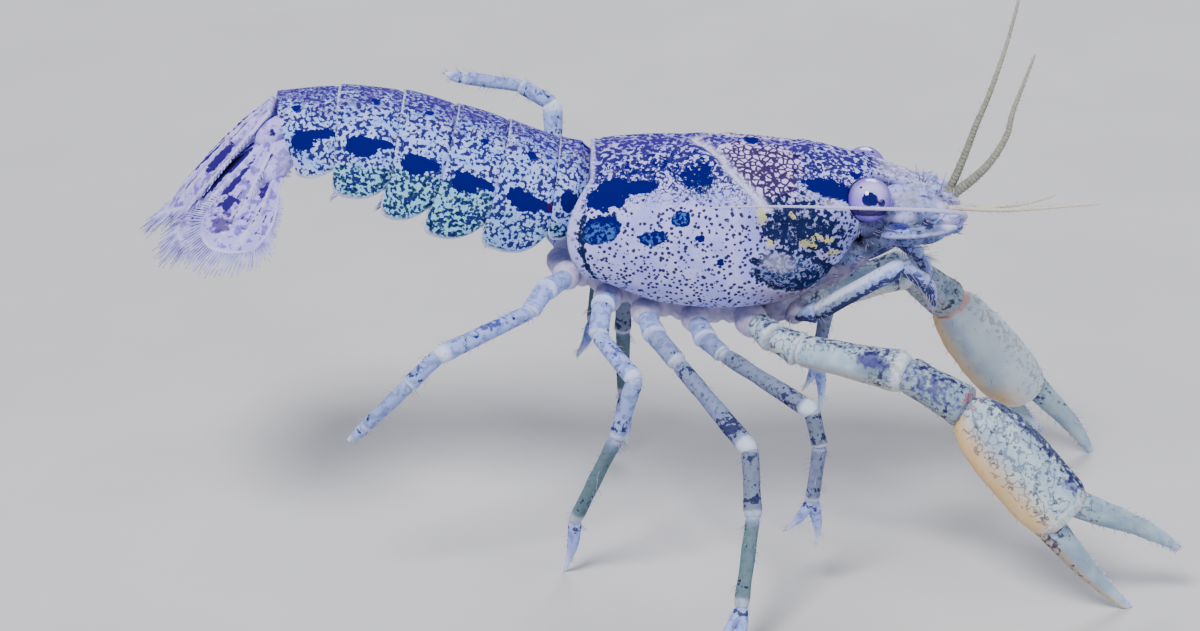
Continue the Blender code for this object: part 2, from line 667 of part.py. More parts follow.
def limb_node(path, radii, reference, start, end, tip=None, count=LEG_SIDES):
    """A tube through a limb's joints, swelling between them. A tip draws its last piece to a point."""
    stops = [path[0]]
    sizes = [radii[0] * JOINT_WAIST]
    for i, (low, high) in enumerate(zip(path, path[1:])):
        if tip is not None and i == len(path) - 2:
            stops += [low.lerp(high, share) for share in TIP_SHARES] + [high]
            sizes += [radii[i] * swell for swell in TIP_SWELLS] + [tip]
        else:
            girths = (radii[i], (radii[i] + radii[i + 1]) * 0.5, radii[i + 1])
            stops += [low.lerp(high, share) for share in ARTICLE_SHARES] + [high]
            sizes += [girth * swell for girth, swell in zip(girths, ARTICLE_SWELLS)]
            sizes.append(radii[i + 1] * JOINT_WAIST)
    return tube(stops, [(size, size) for size in sizes], reference, count, start, end)


def joint_plane(before, joint, after):
    """The direction square to the cut between two limb nodes that meet at a joint."""
    return ((joint - before).normalized() + (after - joint).normalized()).normalized()


def set_back(joint, towards, plane):
    """A joint's point moved half a gap into a node, whose end is cut along a plane."""
    along = (towards - joint).normalized()
    return joint + along * (GAP * 0.5 / abs(along.dot(plane)))


def limb_span(joints, radii, first, final, reference, tip=None, count=LEG_SIDES):
    """One node of a limb, between two of its joints, its ends cut halfway round each bend."""
    path = joints[first:final + 1]
    start = SIDEWAYS * math.copysign(1.0, joints[0].y)
    end = None
    if first:
        start = joint_plane(*joints[first - 1:first + 2])
        path[0] = set_back(path[0], path[1], start)
    if final < len(joints) - 1:
        end = joint_plane(*joints[final - 1:final + 2])
        path[-1] = set_back(path[-1], path[-2], end)
    return limb_node(path, radii[first:final + 1], reference, start, end, tip, count)


def make_leg(side, pair):
    """One walking leg in three nodes: its base, its thigh and the rest down to the tip."""
    joints = [at_floor(*point) for point in LEG_JOINTS[side, pair]]
    radii = [radius * MM for radius in LEG_RADII]
    second = joints.pop() if pair in PINCER_PAIRS else None
    reference = Vector((0.0, 0.3, 1.0)) if pair == 5 else Vector((1.0, 0.0, 0.2))
    for piece, first, final in zip(LEG_PIECES, LEG_BREAKS, LEG_BREAKS[1:]):
        ends_here = final == LEG_BREAKS[-1]
        item = limb_span(joints, radii, first, final, reference, LEG_TIP if ends_here else None)
        if ends_here and second is not None:
            root = joints[-2].lerp(joints[-3], 0.12)
            finger = tube([root, root.lerp(second, 0.5), second], round_sizes(PINCER_RADII), SIDEWAYS, 6)
            combine(item, [finger], "UNION")
        finish(item, f"leg_{side}_{pair}_{piece}", PALE)


def make_palm(side, joints, spread, along, tip):
    """A claw's palm, flat and oval, with its fixed finger."""
    wrist, knuckle = joints[4], joints[5]
    plane = joint_plane(*joints[3:6])
    root = set_back(wrist, knuckle, plane)
    path = [root.lerp(knuckle, share) for share, _ in PALM_RINGS]
    sizes = [(PALM_HALF_WIDTH * width, PALM_HALF_DEPTH * (0.25 + 0.75 * width)) for _, width in PALM_RINGS]
    palm = tube(path, sizes, spread, 12, plane)
    finger_root = knuckle - spread * (FINGER_ROOT_SHARE * PALM_HALF_WIDTH)
    bend = finger_root.lerp(tip, 0.55) - spread * FIXED_BOW
    finger = tube([finger_root - along * FINGER_SINK, finger_root, bend, tip], round_sizes(FIXED_RADII),
                  spread, 8)
    combine(palm, [finger], "UNION")
    finish(palm, f"claw_{side}_palm", PALE)


def make_claw(side):
    """One claw limb in five nodes: base, arm, wrist, palm with its fixed finger, moving finger."""
    joints = [at_floor(*point) for point in CLAW_JOINTS[side]]
    radii = [radius * MM for radius in CLAW_RADII]
    fixed_tip, moving_tip = (at_floor(*point) for point in CLAW_TIPS[side])
    for piece, first, final in zip(CLAW_PIECES, CLAW_BREAKS, CLAW_BREAKS[1:]):
        item = limb_span(joints, radii, first, final, Vector((0.0, 0.2, 1.0)), count=9)
        finish(item, f"claw_{side}_{piece}", PALE)

    knuckle = joints[5]
    along = (knuckle - joints[4]).normalized()
    spread = moving_tip - fixed_tip
    spread = (spread - along * spread.dot(along)).normalized()
    make_palm(side, joints, spread, along, fixed_tip)

    root = knuckle + spread * (FINGER_ROOT_SHARE * PALM_HALF_WIDTH) + along * GAP
    bend = root.lerp(moving_tip, 0.5) + spread * MOVING_BOW
    path = [root, root.lerp(bend, 0.25), bend, moving_tip]
    finger = tube(path, round_sizes(MOVING_RADII), spread, 8, along)
    finish(finger, f"claw_{side}_finger", PALE)


def side_points(rows, sign):
    """Points above the body's middle, on one side of it."""
    return [at_body(x, y * sign, z) for x, y, z in rows]


def make_antennule(side, sign):
    """A short feeler base under the rostrum with its two thin branches."""
    stem = tube(side_points(ANTENNULE_STEM, sign), round_sizes(ANTENNULE_STEM_RADII), SIDEWAYS)
    branches = []
    for rows in ANTENNULE_BRANCHES[side]:
        path = [at_floor(*point) for point in rows]
        taper = BRANCH_ROOT_RADIUS - BRANCH_TIP_RADIUS
        radii = [BRANCH_ROOT_RADIUS - taper * (i / (len(path) - 1)) ** 2 for i in range(len(path))]
        branches.append(tube(path, [(radius, radius) for radius in radii], SIDEWAYS, 6))
    combine(stem, branches, "UNION")
    finish(stem, f"antennule_{side}", CREAM)


def make_antenna(side, sign):
    """A long feeler: a stout base under the eye, and a whip that sweeps back along the carapace."""
    stem = tube(side_points(ANTENNA_STEM, sign), round_sizes(ANTENNA_STEM_RADII), SIDEWAYS, 8)
    path = side_points(ANTENNA_SWEEPS[side], sign)
    taper = WHIP_ROOT_RADIUS - WHIP_TIP_RADIUS
    radii = [WHIP_ROOT_RADIUS - taper * i / (len(path) - 1) for i in range(len(path))]
    whip = tube(path, [(radius, radius) for radius in radii], Vector((0.0, 0.3, 1.0)), 6)
    combine(stem, [whip], "UNION", "MANIFOLD")
    finish(stem, f"antenna_{side}", CREAM)


def make_scale(side, sign):
    """The pointed leaf-shaped plate beside a long feeler's base."""
    sizes = [(width * MM, SCALE_HALF_THICKNESS) for width in SCALE_HALF_WIDTHS]
    sizes[-1] = (sizes[-1][0], SCALE_TIP_HALF_THICKNESS)
    finish(tube(side_points(SCALE_LINE, sign), sizes, SIDEWAYS, 8), f"antennal_scale_{side}", PALE)


def make_maxilliped(side, sign):
    """The leg-like mouthpart beside the mouth, bent down at its end."""
    joints = [at_floor(x, y * sign, z) for x, y, z in MAXILLIPED_JOINTS]
    radii = [radius * MM for radius in MAXILLIPED_RADII]
    item = limb_span(joints, radii, 0, len(joints) - 1, SIDEWAYS, MAXILLIPED_TIP)
    finish(item, f"maxilliped_{side}", PALE)


def main():
    """Build every node of the crayfish."""
    clear_scene()
    make_carapace()
    make_block("sternum", STERNUM_SECTIONS)
    make_block("mouthparts", MOUTH_SECTIONS)
    for index in range(len(ABDOMEN_STATIONS) - 1):
        make_segment(index)
    make_blade("telson", TELSON, 1)
    for side, sign in SIDES:
        make_blade(f"uropod_inner_{side}", INNER, sign)
        make_blade(f"uropod_outer_{side}", OUTER, sign)
        finish(eye_ball(EYE_RADIUS, sign), f"eye_{side}", EYE_COLOUR, EYE_ROUGHNESS)
        make_antenna(side, sign)
        make_antennule(side, sign)
        make_scale(side, sign)
        make_maxilliped(side, sign)
        make_claw(side)
        for pair in (2, 3, 4, 5):
            make_leg(side, pair)


main()
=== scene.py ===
"""The looks of a life-size dwarf crayfish: shell, markings, limbs, feelers, bristles, light and camera.

Sizes are in millimetres until a mesh is made. Body heights are measured from the middle of the body's
barrel, limb heights from the floor. The head is towards +X.
"""

import logging
import math
from dataclasses import dataclass, field
from enum import Enum
from functools import partial
from typing import Optional, Sequence

import bmesh
import bpy
import numpy as np
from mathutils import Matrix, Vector, noise


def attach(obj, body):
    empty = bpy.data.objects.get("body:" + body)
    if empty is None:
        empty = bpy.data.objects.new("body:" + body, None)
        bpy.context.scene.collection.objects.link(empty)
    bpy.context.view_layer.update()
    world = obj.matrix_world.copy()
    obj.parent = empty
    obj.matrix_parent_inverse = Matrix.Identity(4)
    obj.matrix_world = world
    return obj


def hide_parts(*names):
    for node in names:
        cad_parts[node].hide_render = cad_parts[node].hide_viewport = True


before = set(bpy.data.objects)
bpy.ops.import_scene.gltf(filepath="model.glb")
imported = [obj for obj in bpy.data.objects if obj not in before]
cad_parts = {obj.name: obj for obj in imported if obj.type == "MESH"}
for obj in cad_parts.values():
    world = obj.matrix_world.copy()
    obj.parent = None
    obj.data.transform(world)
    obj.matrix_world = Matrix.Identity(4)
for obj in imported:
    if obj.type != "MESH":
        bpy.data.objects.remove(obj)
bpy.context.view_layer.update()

LOG = logging.getLogger("crayfish")

MM = 0.001
ORIGIN = np.array((0.29, 1.79, 0.0))
BODY_HEIGHT = 14.8
UP = np.array((0.0, 0.0, 1.0))
LEFTWARDS = np.array((0.0, 1.0, 0.0))
VIEW_UP = np.array((0.0, 0.375, 0.927))
VIEW_FRONT = np.array((0.0, -0.927, 0.375))
VIEW_SLOPE = 0.404
SNOUT_SIDE = 1.98
ROW_STEP, COLUMN_STEP, LENGTH_STEP = 0.618, 0.7549, 0.382

Colour = tuple[float, float, float]
Rows = Sequence[Sequence[float]]
Points = np.ndarray


class Side(Enum):
    """The animal's two sides, with the sign of Y on each."""

    LEFT = 1
    RIGHT = -1

    @property
    def word(self) -> str:
        """The side's name in lower case."""
        return self.name.lower()


class Mark(Enum):
    """What can be painted on a surface: the attribute that holds it and its channel there."""

    BACK = ("marks", 0)
    BLOTCH = ("marks", 1)
    PURPLE = ("marks", 2)
    TEAL = ("marks", 3)
    DARK = ("zones", 0)
    YELLOW = ("zones", 1)
    PALE = ("zones", 2)
    RIM = ("zones", 3)
    # Brownish grey on the carapace's lower front flank, and painted shade in the hollow under the eye on the snout.
    BROWN = ("bands", 0)
    CLEAR = ("bands", 1)


class Pattern(Enum):
    """How a layer of colour spreads over a surface."""

    NETWORK = "wavy patches"
    DOTS = "small separate spots"
    CELLS = "lines round cells"
    LINES = "thin winding lines"
    RAGGED = "a painted mark with ragged edges"
    SOFT = "a painted mark with soft edges"


class Form(Enum):
    """The small shape that a scatter repeats."""

    BRISTLE = "bristle"
    GRAIN = "grain"


def smooth_rows(rows: Rows, count: int) -> Points:
    """Rows of numbers on a smooth curve through the given rows.

    Args:
        rows: the rows that the curve passes through.
        count: how many rows to read from it, evenly between the first and the last.

    Returns:
        The new rows as an array.
    """
    table = np.asarray(rows, float)
    last = len(table) - 1
    place = np.linspace(0.0, last, count)
    index = np.clip(place.astype(int), 0, max(last - 1, 0))
    u = (place - index)[:, None]
    a, b, c, d = (table[np.clip(index + step, 0, last)] for step in (-1, 0, 1, 2))
    return 0.5 * (2 * b + (c - a) * u + (2 * a - 5 * b + 4 * c - d) * u**2 + (3 * b - a - 3 * c + d) * u**3)


def ease(value: Points, low: float, high: float) -> Points:
    """A smooth step from 0 at low to 1 at high.

    Args:
        value: where the step is read.
        low: where it starts.
        high: where it ends.

    Returns:
        The step's values.
    """
    share = np.clip((np.asarray(value, float) - low) / (high - low), 0.0, 1.0)
    return share * share * (3.0 - 2.0 * share)


def hump(value: Points, middle: float, reach: float) -> Points:
    """A smooth hump that is 1 at its middle and 0 beyond its reach."""
    return 1.0 - ease(np.abs(np.asarray(value, float) - middle), 0.0, reach)


def patch(u: Points, v: Points, middle: tuple[float, float], reach: tuple[float, float]) -> Points:
    """A painted oval, 1 in its middle, one half at its edge and 0 well outside it.

    Args:
        u: the surface's first coordinate.
        v: its second coordinate.
        middle: the oval's middle in both.
        reach: its half-sizes.

    Returns:
        The mark's strength at each point.
    """
    inside = 1.0 - ((u - middle[0]) / reach[0]) ** 2 - ((v - middle[1]) / reach[1]) ** 2
    return np.clip(0.5 + 0.5 * inside, 0.0, 1.0)


def along_line(u: Points, v: Points, line: Rows) -> Points:
    """How far each point of a surface is from a painted line.

    Args:
        u: the surface's first coordinate.
        v: its second coordinate.
        line: the line's corners in both.

    Returns:
        The distances.
    """
    nearest = np.full(np.shape(u), np.inf)
    for (u0, v0), (u1, v1) in zip(line, line[1:]):
        du, dv = u1 - u0, v1 - v0
        share = np.clip(((u - u0) * du + (v - v0) * dv) / (du * du + dv * dv), 0.0, 1.0)
        nearest = np.minimum(nearest, np.hypot(u - u0 - share * du, v - v0 - share * dv))
    return nearest


def patches(u: Points, v: Points, places: Sequence[tuple]) -> Points:
    """The strongest of some painted ovals at each point. Each oval is given by its middle and reach."""
    return np.max([patch(u, v, *place) for place in places], axis=0)


def circle(count: int) -> Points:
    """Angles spread evenly round a ring."""
    return np.linspace(0.0, 2.0 * math.pi, count, endpoint=False)


def closer_at_ends(profile: Rows, count: int) -> Points:
    """Places along a profile's first column, closer together at its ends."""
    low, high = profile[0][0], profile[-1][0]
    return low + (high - low) * (0.5 - 0.5 * np.cos(np.linspace(0.0, math.pi, count)))


def on_body(points: Rows, sign: float) -> Points:
    """Points measured from the body's middle height, set on the side that a sign stands for."""
    return np.array(points) * (1.0, sign, 1.0) + BODY_HEIGHT * UP


@dataclass
class Shape:
    """Collects surfaces in millimetres, with their painted marks, for one mesh."""

    verts: list = field(default_factory=list)
    faces: list = field(default_factory=list)
    marks: list = field(default_factory=list)
    count: int = 0

    def add(self, grid: Points, marks: Optional[dict] = None, flat: bool = False) -> None:
        """Adds a closed surface of rings.

        Args:
            grid: rings by points by 3. Each ring is closed.
            marks: strengths by Mark, each of one number or of rings by points.
            flat: whether the ends are closed by strips across a flat ring, and not by fans to its middle.
        """
        rows, columns = grid.shape[:2]
        paint = np.zeros((rows, columns, len(Mark)))
        for mark, value in (marks or {}).items():
            paint[:, :, list(Mark).index(mark)] = value
        index = self.count + np.arange(rows * columns).reshape(rows, columns)
        turned = np.roll(index, -1, axis=1)
        quads = np.stack((index[:-1], turned[:-1], turned[1:], index[1:]), axis=-1)
        self.verts.append(grid.reshape(-1, 3))
        self.marks.append(paint.reshape(-1, len(Mark)))
        self.faces += quads.reshape(-1, 4).tolist()
        self.count += rows * columns
        for row, flip in ((0, True), (rows - 1, False)):
            if flat:
                ring = index[row].tolist()
                for k in range(columns // 2 - 1):
                    strip = (ring[k], ring[k + 1], ring[-k - 2], ring[-k - 1])
                    self.faces.append(strip[::-1] if flip else strip)
            else:
                self.verts.append(grid[row].mean(axis=0)[None])
                self.marks.append(paint[row].mean(axis=0)[None])
                for a, b in zip(index[row].tolist(), turned[row].tolist()):
                    self.faces.append((b, a, self.count) if flip else (a, b, self.count))
                self.count += 1

    def build(self, name: str) -> bpy.types.Object:
        """Makes the mesh object, its faces turned outwards and shaded smooth.

        Args:
            name: the object's name.

        Returns:
            The object, at the origin.
        """
        mesh = bpy.data.meshes.new(name)
        places = (np.concatenate(self.verts) + ORIGIN) * MM
        places[:, 2] = np.maximum(places[:, 2], 0.0)
        mesh.from_pydata(places.tolist(), [], self.faces)
        paint = np.concatenate(self.marks)
        for group in ("marks", "zones", "bands"):
            channels = np.zeros((len(paint), 4), np.float32)
            for index, mark in enumerate(Mark):
                if mark.value[0] == group:
                    channels[:, mark.value[1]] = paint[:, index]
            layer = mesh.attributes.new(group, "FLOAT_COLOR", "POINT")
            layer.data.foreach_set("color", channels.ravel())
        item = bpy.data.objects.new(name, mesh)
        bpy.context.scene.collection.objects.link(item)
        turn_outwards(item)
        mesh.shade_smooth()
        return item


def turn_outwards(item: bpy.types.Object) -> None:
    """Turns a mesh's closed surfaces so that their faces point out of them.

    Args:
        item: the mesh object.
    """
    mesh = bmesh.new()
    mesh.from_mesh(item.data)
    bmesh.ops.recalc_face_normals(mesh, faces=mesh.faces)
    mesh.to_mesh(item.data)
    mesh.free()


def dress(item: bpy.types.Object, finish: "Finish", slot: str, *nodes: str) -> bpy.types.Object:
    """Gives a piece its finish, sets it on the animal's body and hides the solids that it stands for.

    Args:
        item: the piece.
        finish: its finish.
        slot: the record's material slot. Not used.
        nodes: the solids that it replaces.

    Returns:
        The piece.
    """
    item.data.materials.clear()
    item.data.materials.append(finish.use())
    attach(item, "root")
    if nodes:
        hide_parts(*nodes)
    LOG.info("%s: %d faces", item.name, len(item.data.polygons))
    return item


def fill(tree: bpy.types.NodeTree, node: bpy.types.Node, inputs: dict) -> None:
    """Gives a node's inputs their values, or links them to other nodes' outputs.

    Args:
        tree: the node's tree.
        node: the node.
        inputs: a value or an output for each input, by name or number.
    """
    for key, value in inputs.items():
        if isinstance(value, bpy.types.NodeSocket):
            tree.links.new(value, node.inputs[key])
        else:
            node.inputs[key].default_value = value


def add_node(tree: bpy.types.NodeTree, kind: str, inputs: dict, **settings: object) -> bpy.types.Node:
    """Adds a node to a tree.

    Args:
        tree: the tree.
        kind: the node's type.
        inputs: a value or an output for each input, by name or number.
        settings: its other settings.

    Returns:
        The node.
    """
    node = tree.nodes.new(kind)
    for name, setting in settings.items():
        setattr(node, name, setting)
    fill(tree, node, inputs)
    return node


class Graph:
    """A material's node tree, built in a few words."""

    def __init__(self, name: str) -> None:
        """Starts a material with its shader.

        Args:
            name: the material's name.
        """
        self.material = bpy.data.materials.new(name)
        self.material.use_nodes = True
        self.tree = self.material.node_tree
        self.shader = self.tree.nodes["Principled BSDF"]
        self.coordinates = self.tree.nodes.new("ShaderNodeTexCoord").outputs["Object"]

    def node(self, kind: str, inputs: dict, **settings: object) -> bpy.types.Node:
        """Adds a shader node, its type given without the word ShaderNode."""
        return add_node(self.tree, f"ShaderNode{kind}", inputs, **settings)

    def maths(self, operation: str, *values: object) -> bpy.types.NodeSocket:
        """The result of a Math node on one to three values."""
        return self.node("Math", dict(enumerate(values)), operation=operation).outputs[0]

    def noise(self, size: float, detail: float = 2.0) -> bpy.types.NodeSocket:
        """Noise whose features are about size millimetres wide."""
        inputs = {"Vector": self.coordinates, "Scale": 1.0 / (size * MM), "Detail": detail}
        return self.node("TexNoise", inputs).outputs["Fac"]

    def cells(self, size: float, feature: str, roughen: float) -> bpy.types.NodeSocket:
        """Distances in a field of cells.

        Args:
            size: the cells' width in millimetres.
            feature: F1 for the way to a cell's middle, DISTANCE_TO_EDGE for the way to its edge.
            roughen: how far noise pushes the cells about, as a share of their width.

        Returns:
            The distance in cell widths.
        """
        noise = self.node("TexNoise", {"Vector": self.coordinates, "Scale": 1.6 / (size * MM)})
        inputs = {0: noise.outputs["Color"], 1: (roughen * size * MM,) * 3, 2: self.coordinates}
        push = self.node("VectorMath", inputs, operation="MULTIPLY_ADD").outputs[0]
        inputs = {"Vector": push, "Scale": 1.0 / (size * MM)}
        return self.node("TexVoronoi", inputs, feature=feature).outputs["Distance"]

    def step(self, value: object, middle: float, soft: float, rising: bool = True) -> bpy.types.NodeSocket:
        """A smooth step between 0 and 1.

        Args:
            value: where it is read.
            middle: the value at its middle.
            soft: how far it reaches to each side of that.
            rising: whether it rises with the value, and doesn't fall.

        Returns:
            The step.
        """
        low, high = (0.0, 1.0) if rising else (1.0, 0.0)
        inputs = {"Value": value, "From Min": middle - soft, "From Max": middle + soft, "To Min": low, "To Max": high}
        return self.node("MapRange", inputs, interpolation_type="SMOOTHSTEP").outputs["Result"]

    def mark(self, mark: Mark) -> bpy.types.NodeSocket:
        """A painted mark's strength.

        Args:
            mark: the mark.

        Returns:
            The strength. The fourth channel of an attribute is its alpha.
        """
        group, channel = mark.value
        node = self.node("Attribute", {}, attribute_name=group)
        if channel == 3:
            return node.outputs["Alpha"]
        return self.node("SeparateColor", {0: node.outputs["Color"]}).outputs[channel]

    def mix(self, share: object, low: object, high: object) -> bpy.types.NodeSocket:
        """A colour between two colours, each of them a socket or a plain colour."""
        low, high = ((*value, 1.0) if isinstance(value, tuple) else value for value in (low, high))
        return self.node("Mix", {0: share, 6: low, 7: high}, data_type="RGBA").outputs[2]

    def bump(self, height: bpy.types.NodeSocket, depth: float) -> None:
        """Raises the surface by a height of 0 to 1, depth millimetres high."""
        node = self.node("Bump", {"Strength": 1.0, "Distance": depth * MM, "Height": height})
        fill(self.tree, self.shader, {"Normal": node.outputs["Normal"]})


@dataclass(frozen=True)
class Layer:
    """One layer of colour: its pattern, colour, feature size, share of the surface and where it is."""

    pattern: Pattern
    colour: Colour
    size: float = 0.3
    share: float = 0.5
    soft: float = 0.04
    strength: float = 1.0
    mark: Optional[Mark] = None
    outside: bool = False
    ragged: float = 0.5
    edge: float = 0.5

    def cover(self, graph: Graph) -> bpy.types.NodeSocket:
        """How much of the layer shows at each point.

        Args:
            graph: the material's tree.

        Returns:
            The share, from 0 to 1.
        """
        height = None
        if self.pattern is Pattern.NETWORK:
            height = graph.noise(self.size, 2.5)
        elif self.pattern is Pattern.DOTS:
            height = graph.cells(self.size, "F1", 0.55)
        elif self.pattern is Pattern.CELLS:
            height = graph.cells(self.size, "DISTANCE_TO_EDGE", 0.5)
        elif self.pattern is Pattern.LINES:
            height = graph.maths("ABSOLUTE", graph.maths("SUBTRACT", graph.noise(self.size, 2.0), 0.5))
        strength = self.strength
        if self.mark is not None:
            mark = graph.mark(self.mark)
            if self.outside:
                mark = graph.maths("SUBTRACT", 1.0, mark)
            if self.pattern is not Pattern.SOFT:
                wave = graph.maths("SUBTRACT", graph.noise(self.size, 3.0), 0.5)
                mark = graph.step(graph.maths("MULTIPLY_ADD", wave, self.ragged, mark), self.edge, self.soft)
            strength = graph.maths("MULTIPLY", mark, strength)
        if height is None:
            return strength
        return graph.maths("MULTIPLY", graph.step(height, self.share, self.soft, rising=False), strength)


@dataclass(frozen=True)
class Finish:
    """A shell's finish: ground colour, layers over it, gloss, depth of light in it and fine relief."""

    name: str
    ground: Colour
    layers: tuple[Layer, ...] = ()
    roughness: float = 0.48
    gloss: float = 0.0
    glow: float = 0.12
    grain: float = 0.12
    relief: float = 0.012

    def use(self) -> bpy.types.Material:
        """The finish's material, made the first time that it is asked for."""
        return bpy.data.materials.get(self.name) or self.make()

    def make(self) -> bpy.types.Material:
        """Builds the finish's material.

        Returns:
            The material.
        """
        graph = Graph(self.name)
        colour: object = self.ground
        for layer in self.layers:
            colour = graph.mix(layer.cover(graph), colour, layer.colour)
        rough = graph.step(graph.noise(0.5), 0.5, 0.3)
        fill(graph.tree, graph.shader, {
            "Base Color": (*colour, 1.0) if isinstance(colour, tuple) else colour, "Coat Weight": self.gloss,
            "Coat Roughness": 0.12 if self.gloss < 0.5 else 0.05, "Specular IOR Level": 0.0,
            "Subsurface Weight": self.glow, "Subsurface Radius": (0.5, 0.45, 0.6), "Subsurface Scale": 0.6 * MM,
            "Roughness": graph.maths("MULTIPLY_ADD", rough, 0.14, self.roughness - 0.07)})
        if self.relief:
            graph.bump(graph.noise(self.grain, 4.0), self.relief)
        return graph.material


def ink(red: int, green: int, blue: int) -> Colour:
    """A colour read off a screen, as the light that it stands for."""
    parts = (channel / 255.0 for channel in (red, green, blue))
    return tuple(c / 12.92 if c <= 0.04045 else ((c + 0.055) / 1.055) ** 2.4 for c in parts)


CARAPACE_FINISH = Finish("carapace shell", ink(162, 166, 244), (
    Layer(Pattern.NETWORK, ink(190, 190, 249), 0.9, 0.5, 0.10, 0.7),
    Layer(Pattern.SOFT, ink(84, 96, 142), strength=0.85, mark=Mark.CLEAR),
    Layer(Pattern.DOTS, ink(22, 13, 74), 0.215, 0.36, 0.045, 0.95, Mark.BACK, outside=True),
    Layer(Pattern.NETWORK, ink(18, 13, 96), 0.21, 0.535, 0.03, 0.96, Mark.BACK, ragged=1.2),
    Layer(Pattern.RAGGED, ink(64, 40, 134), 0.40, soft=0.16, strength=0.6, mark=Mark.BACK, ragged=0.7, edge=0.88),
    Layer(Pattern.NETWORK, ink(13, 46, 92), 0.22, 0.58, 0.04, 0.95, Mark.TEAL, ragged=1.4),
    Layer(Pattern.RAGGED, ink(204, 188, 244), 0.30, soft=0.08, strength=0.9, mark=Mark.PURPLE, ragged=1.2),
    Layer(Pattern.CELLS, ink(34, 5, 74), 0.27, 0.15, 0.05, 0.95, Mark.PURPLE, ragged=1.2),
    Layer(Pattern.RAGGED, ink(13, 13, 100), 0.24, soft=0.05, mark=Mark.BLOTCH, ragged=1.7),
    Layer(Pattern.NETWORK, ink(72, 112, 190), 0.17, 0.47, 0.04, 0.75, Mark.TEAL, ragged=0.6, edge=0.78),
    Layer(Pattern.RAGGED, ink(26, 34, 78), 0.24, soft=0.06, mark=Mark.DARK, ragged=1.7),
    Layer(Pattern.NETWORK, ink(124, 134, 178), 0.17, 0.375, 0.04, 0.75, Mark.DARK, ragged=1.2),
    Layer(Pattern.RAGGED, ink(196, 190, 138), 0.20, soft=0.06, strength=0.85, mark=Mark.YELLOW, ragged=2.2),
    Layer(Pattern.DOTS, ink(16, 18, 62), 0.22, 0.34, 0.05, 0.9, Mark.YELLOW, ragged=1.4),
    Layer(Pattern.SOFT, ink(120, 106, 112), strength=0.8, mark=Mark.BROWN),
    Layer(Pattern.SOFT, ink(210, 208, 240), strength=0.85, mark=Mark.PALE),
    Layer(Pattern.SOFT, ink(186, 186, 240), strength=0.6, mark=Mark.RIM),
))
ABDOMEN_FINISH = Finish("abdomen shell", ink(144, 172, 249), (
    Layer(Pattern.NETWORK, ink(180, 194, 249), 0.7, 0.5, 0.10, 0.7),
    Layer(Pattern.RAGGED, ink(132, 200, 224), 0.30, soft=0.20, strength=0.8, mark=Mark.TEAL),
    Layer(Pattern.NETWORK, ink(20, 14, 100), 0.172, 0.485, 0.03, 0.96),
    Layer(Pattern.DOTS, ink(13, 40, 72), 0.24, 0.38, 0.045, 0.9, Mark.TEAL),
    Layer(Pattern.NETWORK, ink(40, 24, 118), 0.16, 0.49, 0.035, 0.85, Mark.BACK, ragged=1.0, edge=0.78),
    Layer(Pattern.RAGGED, ink(64, 36, 122), 0.40, soft=0.20, strength=0.7, mark=Mark.BACK, ragged=0.8, edge=0.90),
    Layer(Pattern.RAGGED, ink(13, 13, 104), 0.24, soft=0.04, mark=Mark.BLOTCH, ragged=1.7),
    Layer(Pattern.RAGGED, ink(62, 14, 78), 0.20, soft=0.05, mark=Mark.PURPLE, ragged=1.4),
    Layer(Pattern.SOFT, ink(214, 220, 249), strength=0.9, mark=Mark.RIM),
))
FAN_FINISH = Finish("tail fan shell", ink(178, 168, 246), (
    Layer(Pattern.NETWORK, ink(92, 76, 182), 0.30, 0.46, 0.06, 0.75, Mark.RIM, outside=True),
    Layer(Pattern.SOFT, ink(214, 206, 249), strength=0.6, mark=Mark.PALE),
    Layer(Pattern.RAGGED, ink(70, 48, 124), 0.26, soft=0.12, strength=0.85, mark=Mark.PURPLE, ragged=1.2),
    Layer(Pattern.RAGGED, ink(46, 32, 116), 0.22, soft=0.10, mark=Mark.DARK, ragged=1.5),
    Layer(Pattern.SOFT, ink(212, 208, 249), strength=0.7, mark=Mark.RIM),
), roughness=0.45, glow=0.2)
LEG_FINISH = Finish("leg shell", ink(156, 174, 238), (
    Layer(Pattern.NETWORK, ink(104, 118, 186), 0.30, 0.46, 0.06, 0.65),
    Layer(Pattern.SOFT, ink(104, 114, 130), strength=0.9, mark=Mark.CLEAR),
    Layer(Pattern.SOFT, ink(84, 112, 106), strength=0.85, mark=Mark.TEAL),
    Layer(Pattern.NETWORK, ink(54, 58, 86), 0.20, 0.385, 0.06, 0.7, Mark.CLEAR, ragged=0.8),
    Layer(Pattern.RAGGED, ink(36, 46, 138), 0.22, soft=0.08, strength=0.8, mark=Mark.BLOTCH, ragged=2.4),
    Layer(Pattern.RAGGED, ink(26, 26, 78), 0.22, soft=0.08, strength=0.85, mark=Mark.DARK, ragged=2.4),
    Layer(Pattern.SOFT, ink(211, 220, 249), strength=0.85, mark=Mark.PALE),
), glow=0.2)
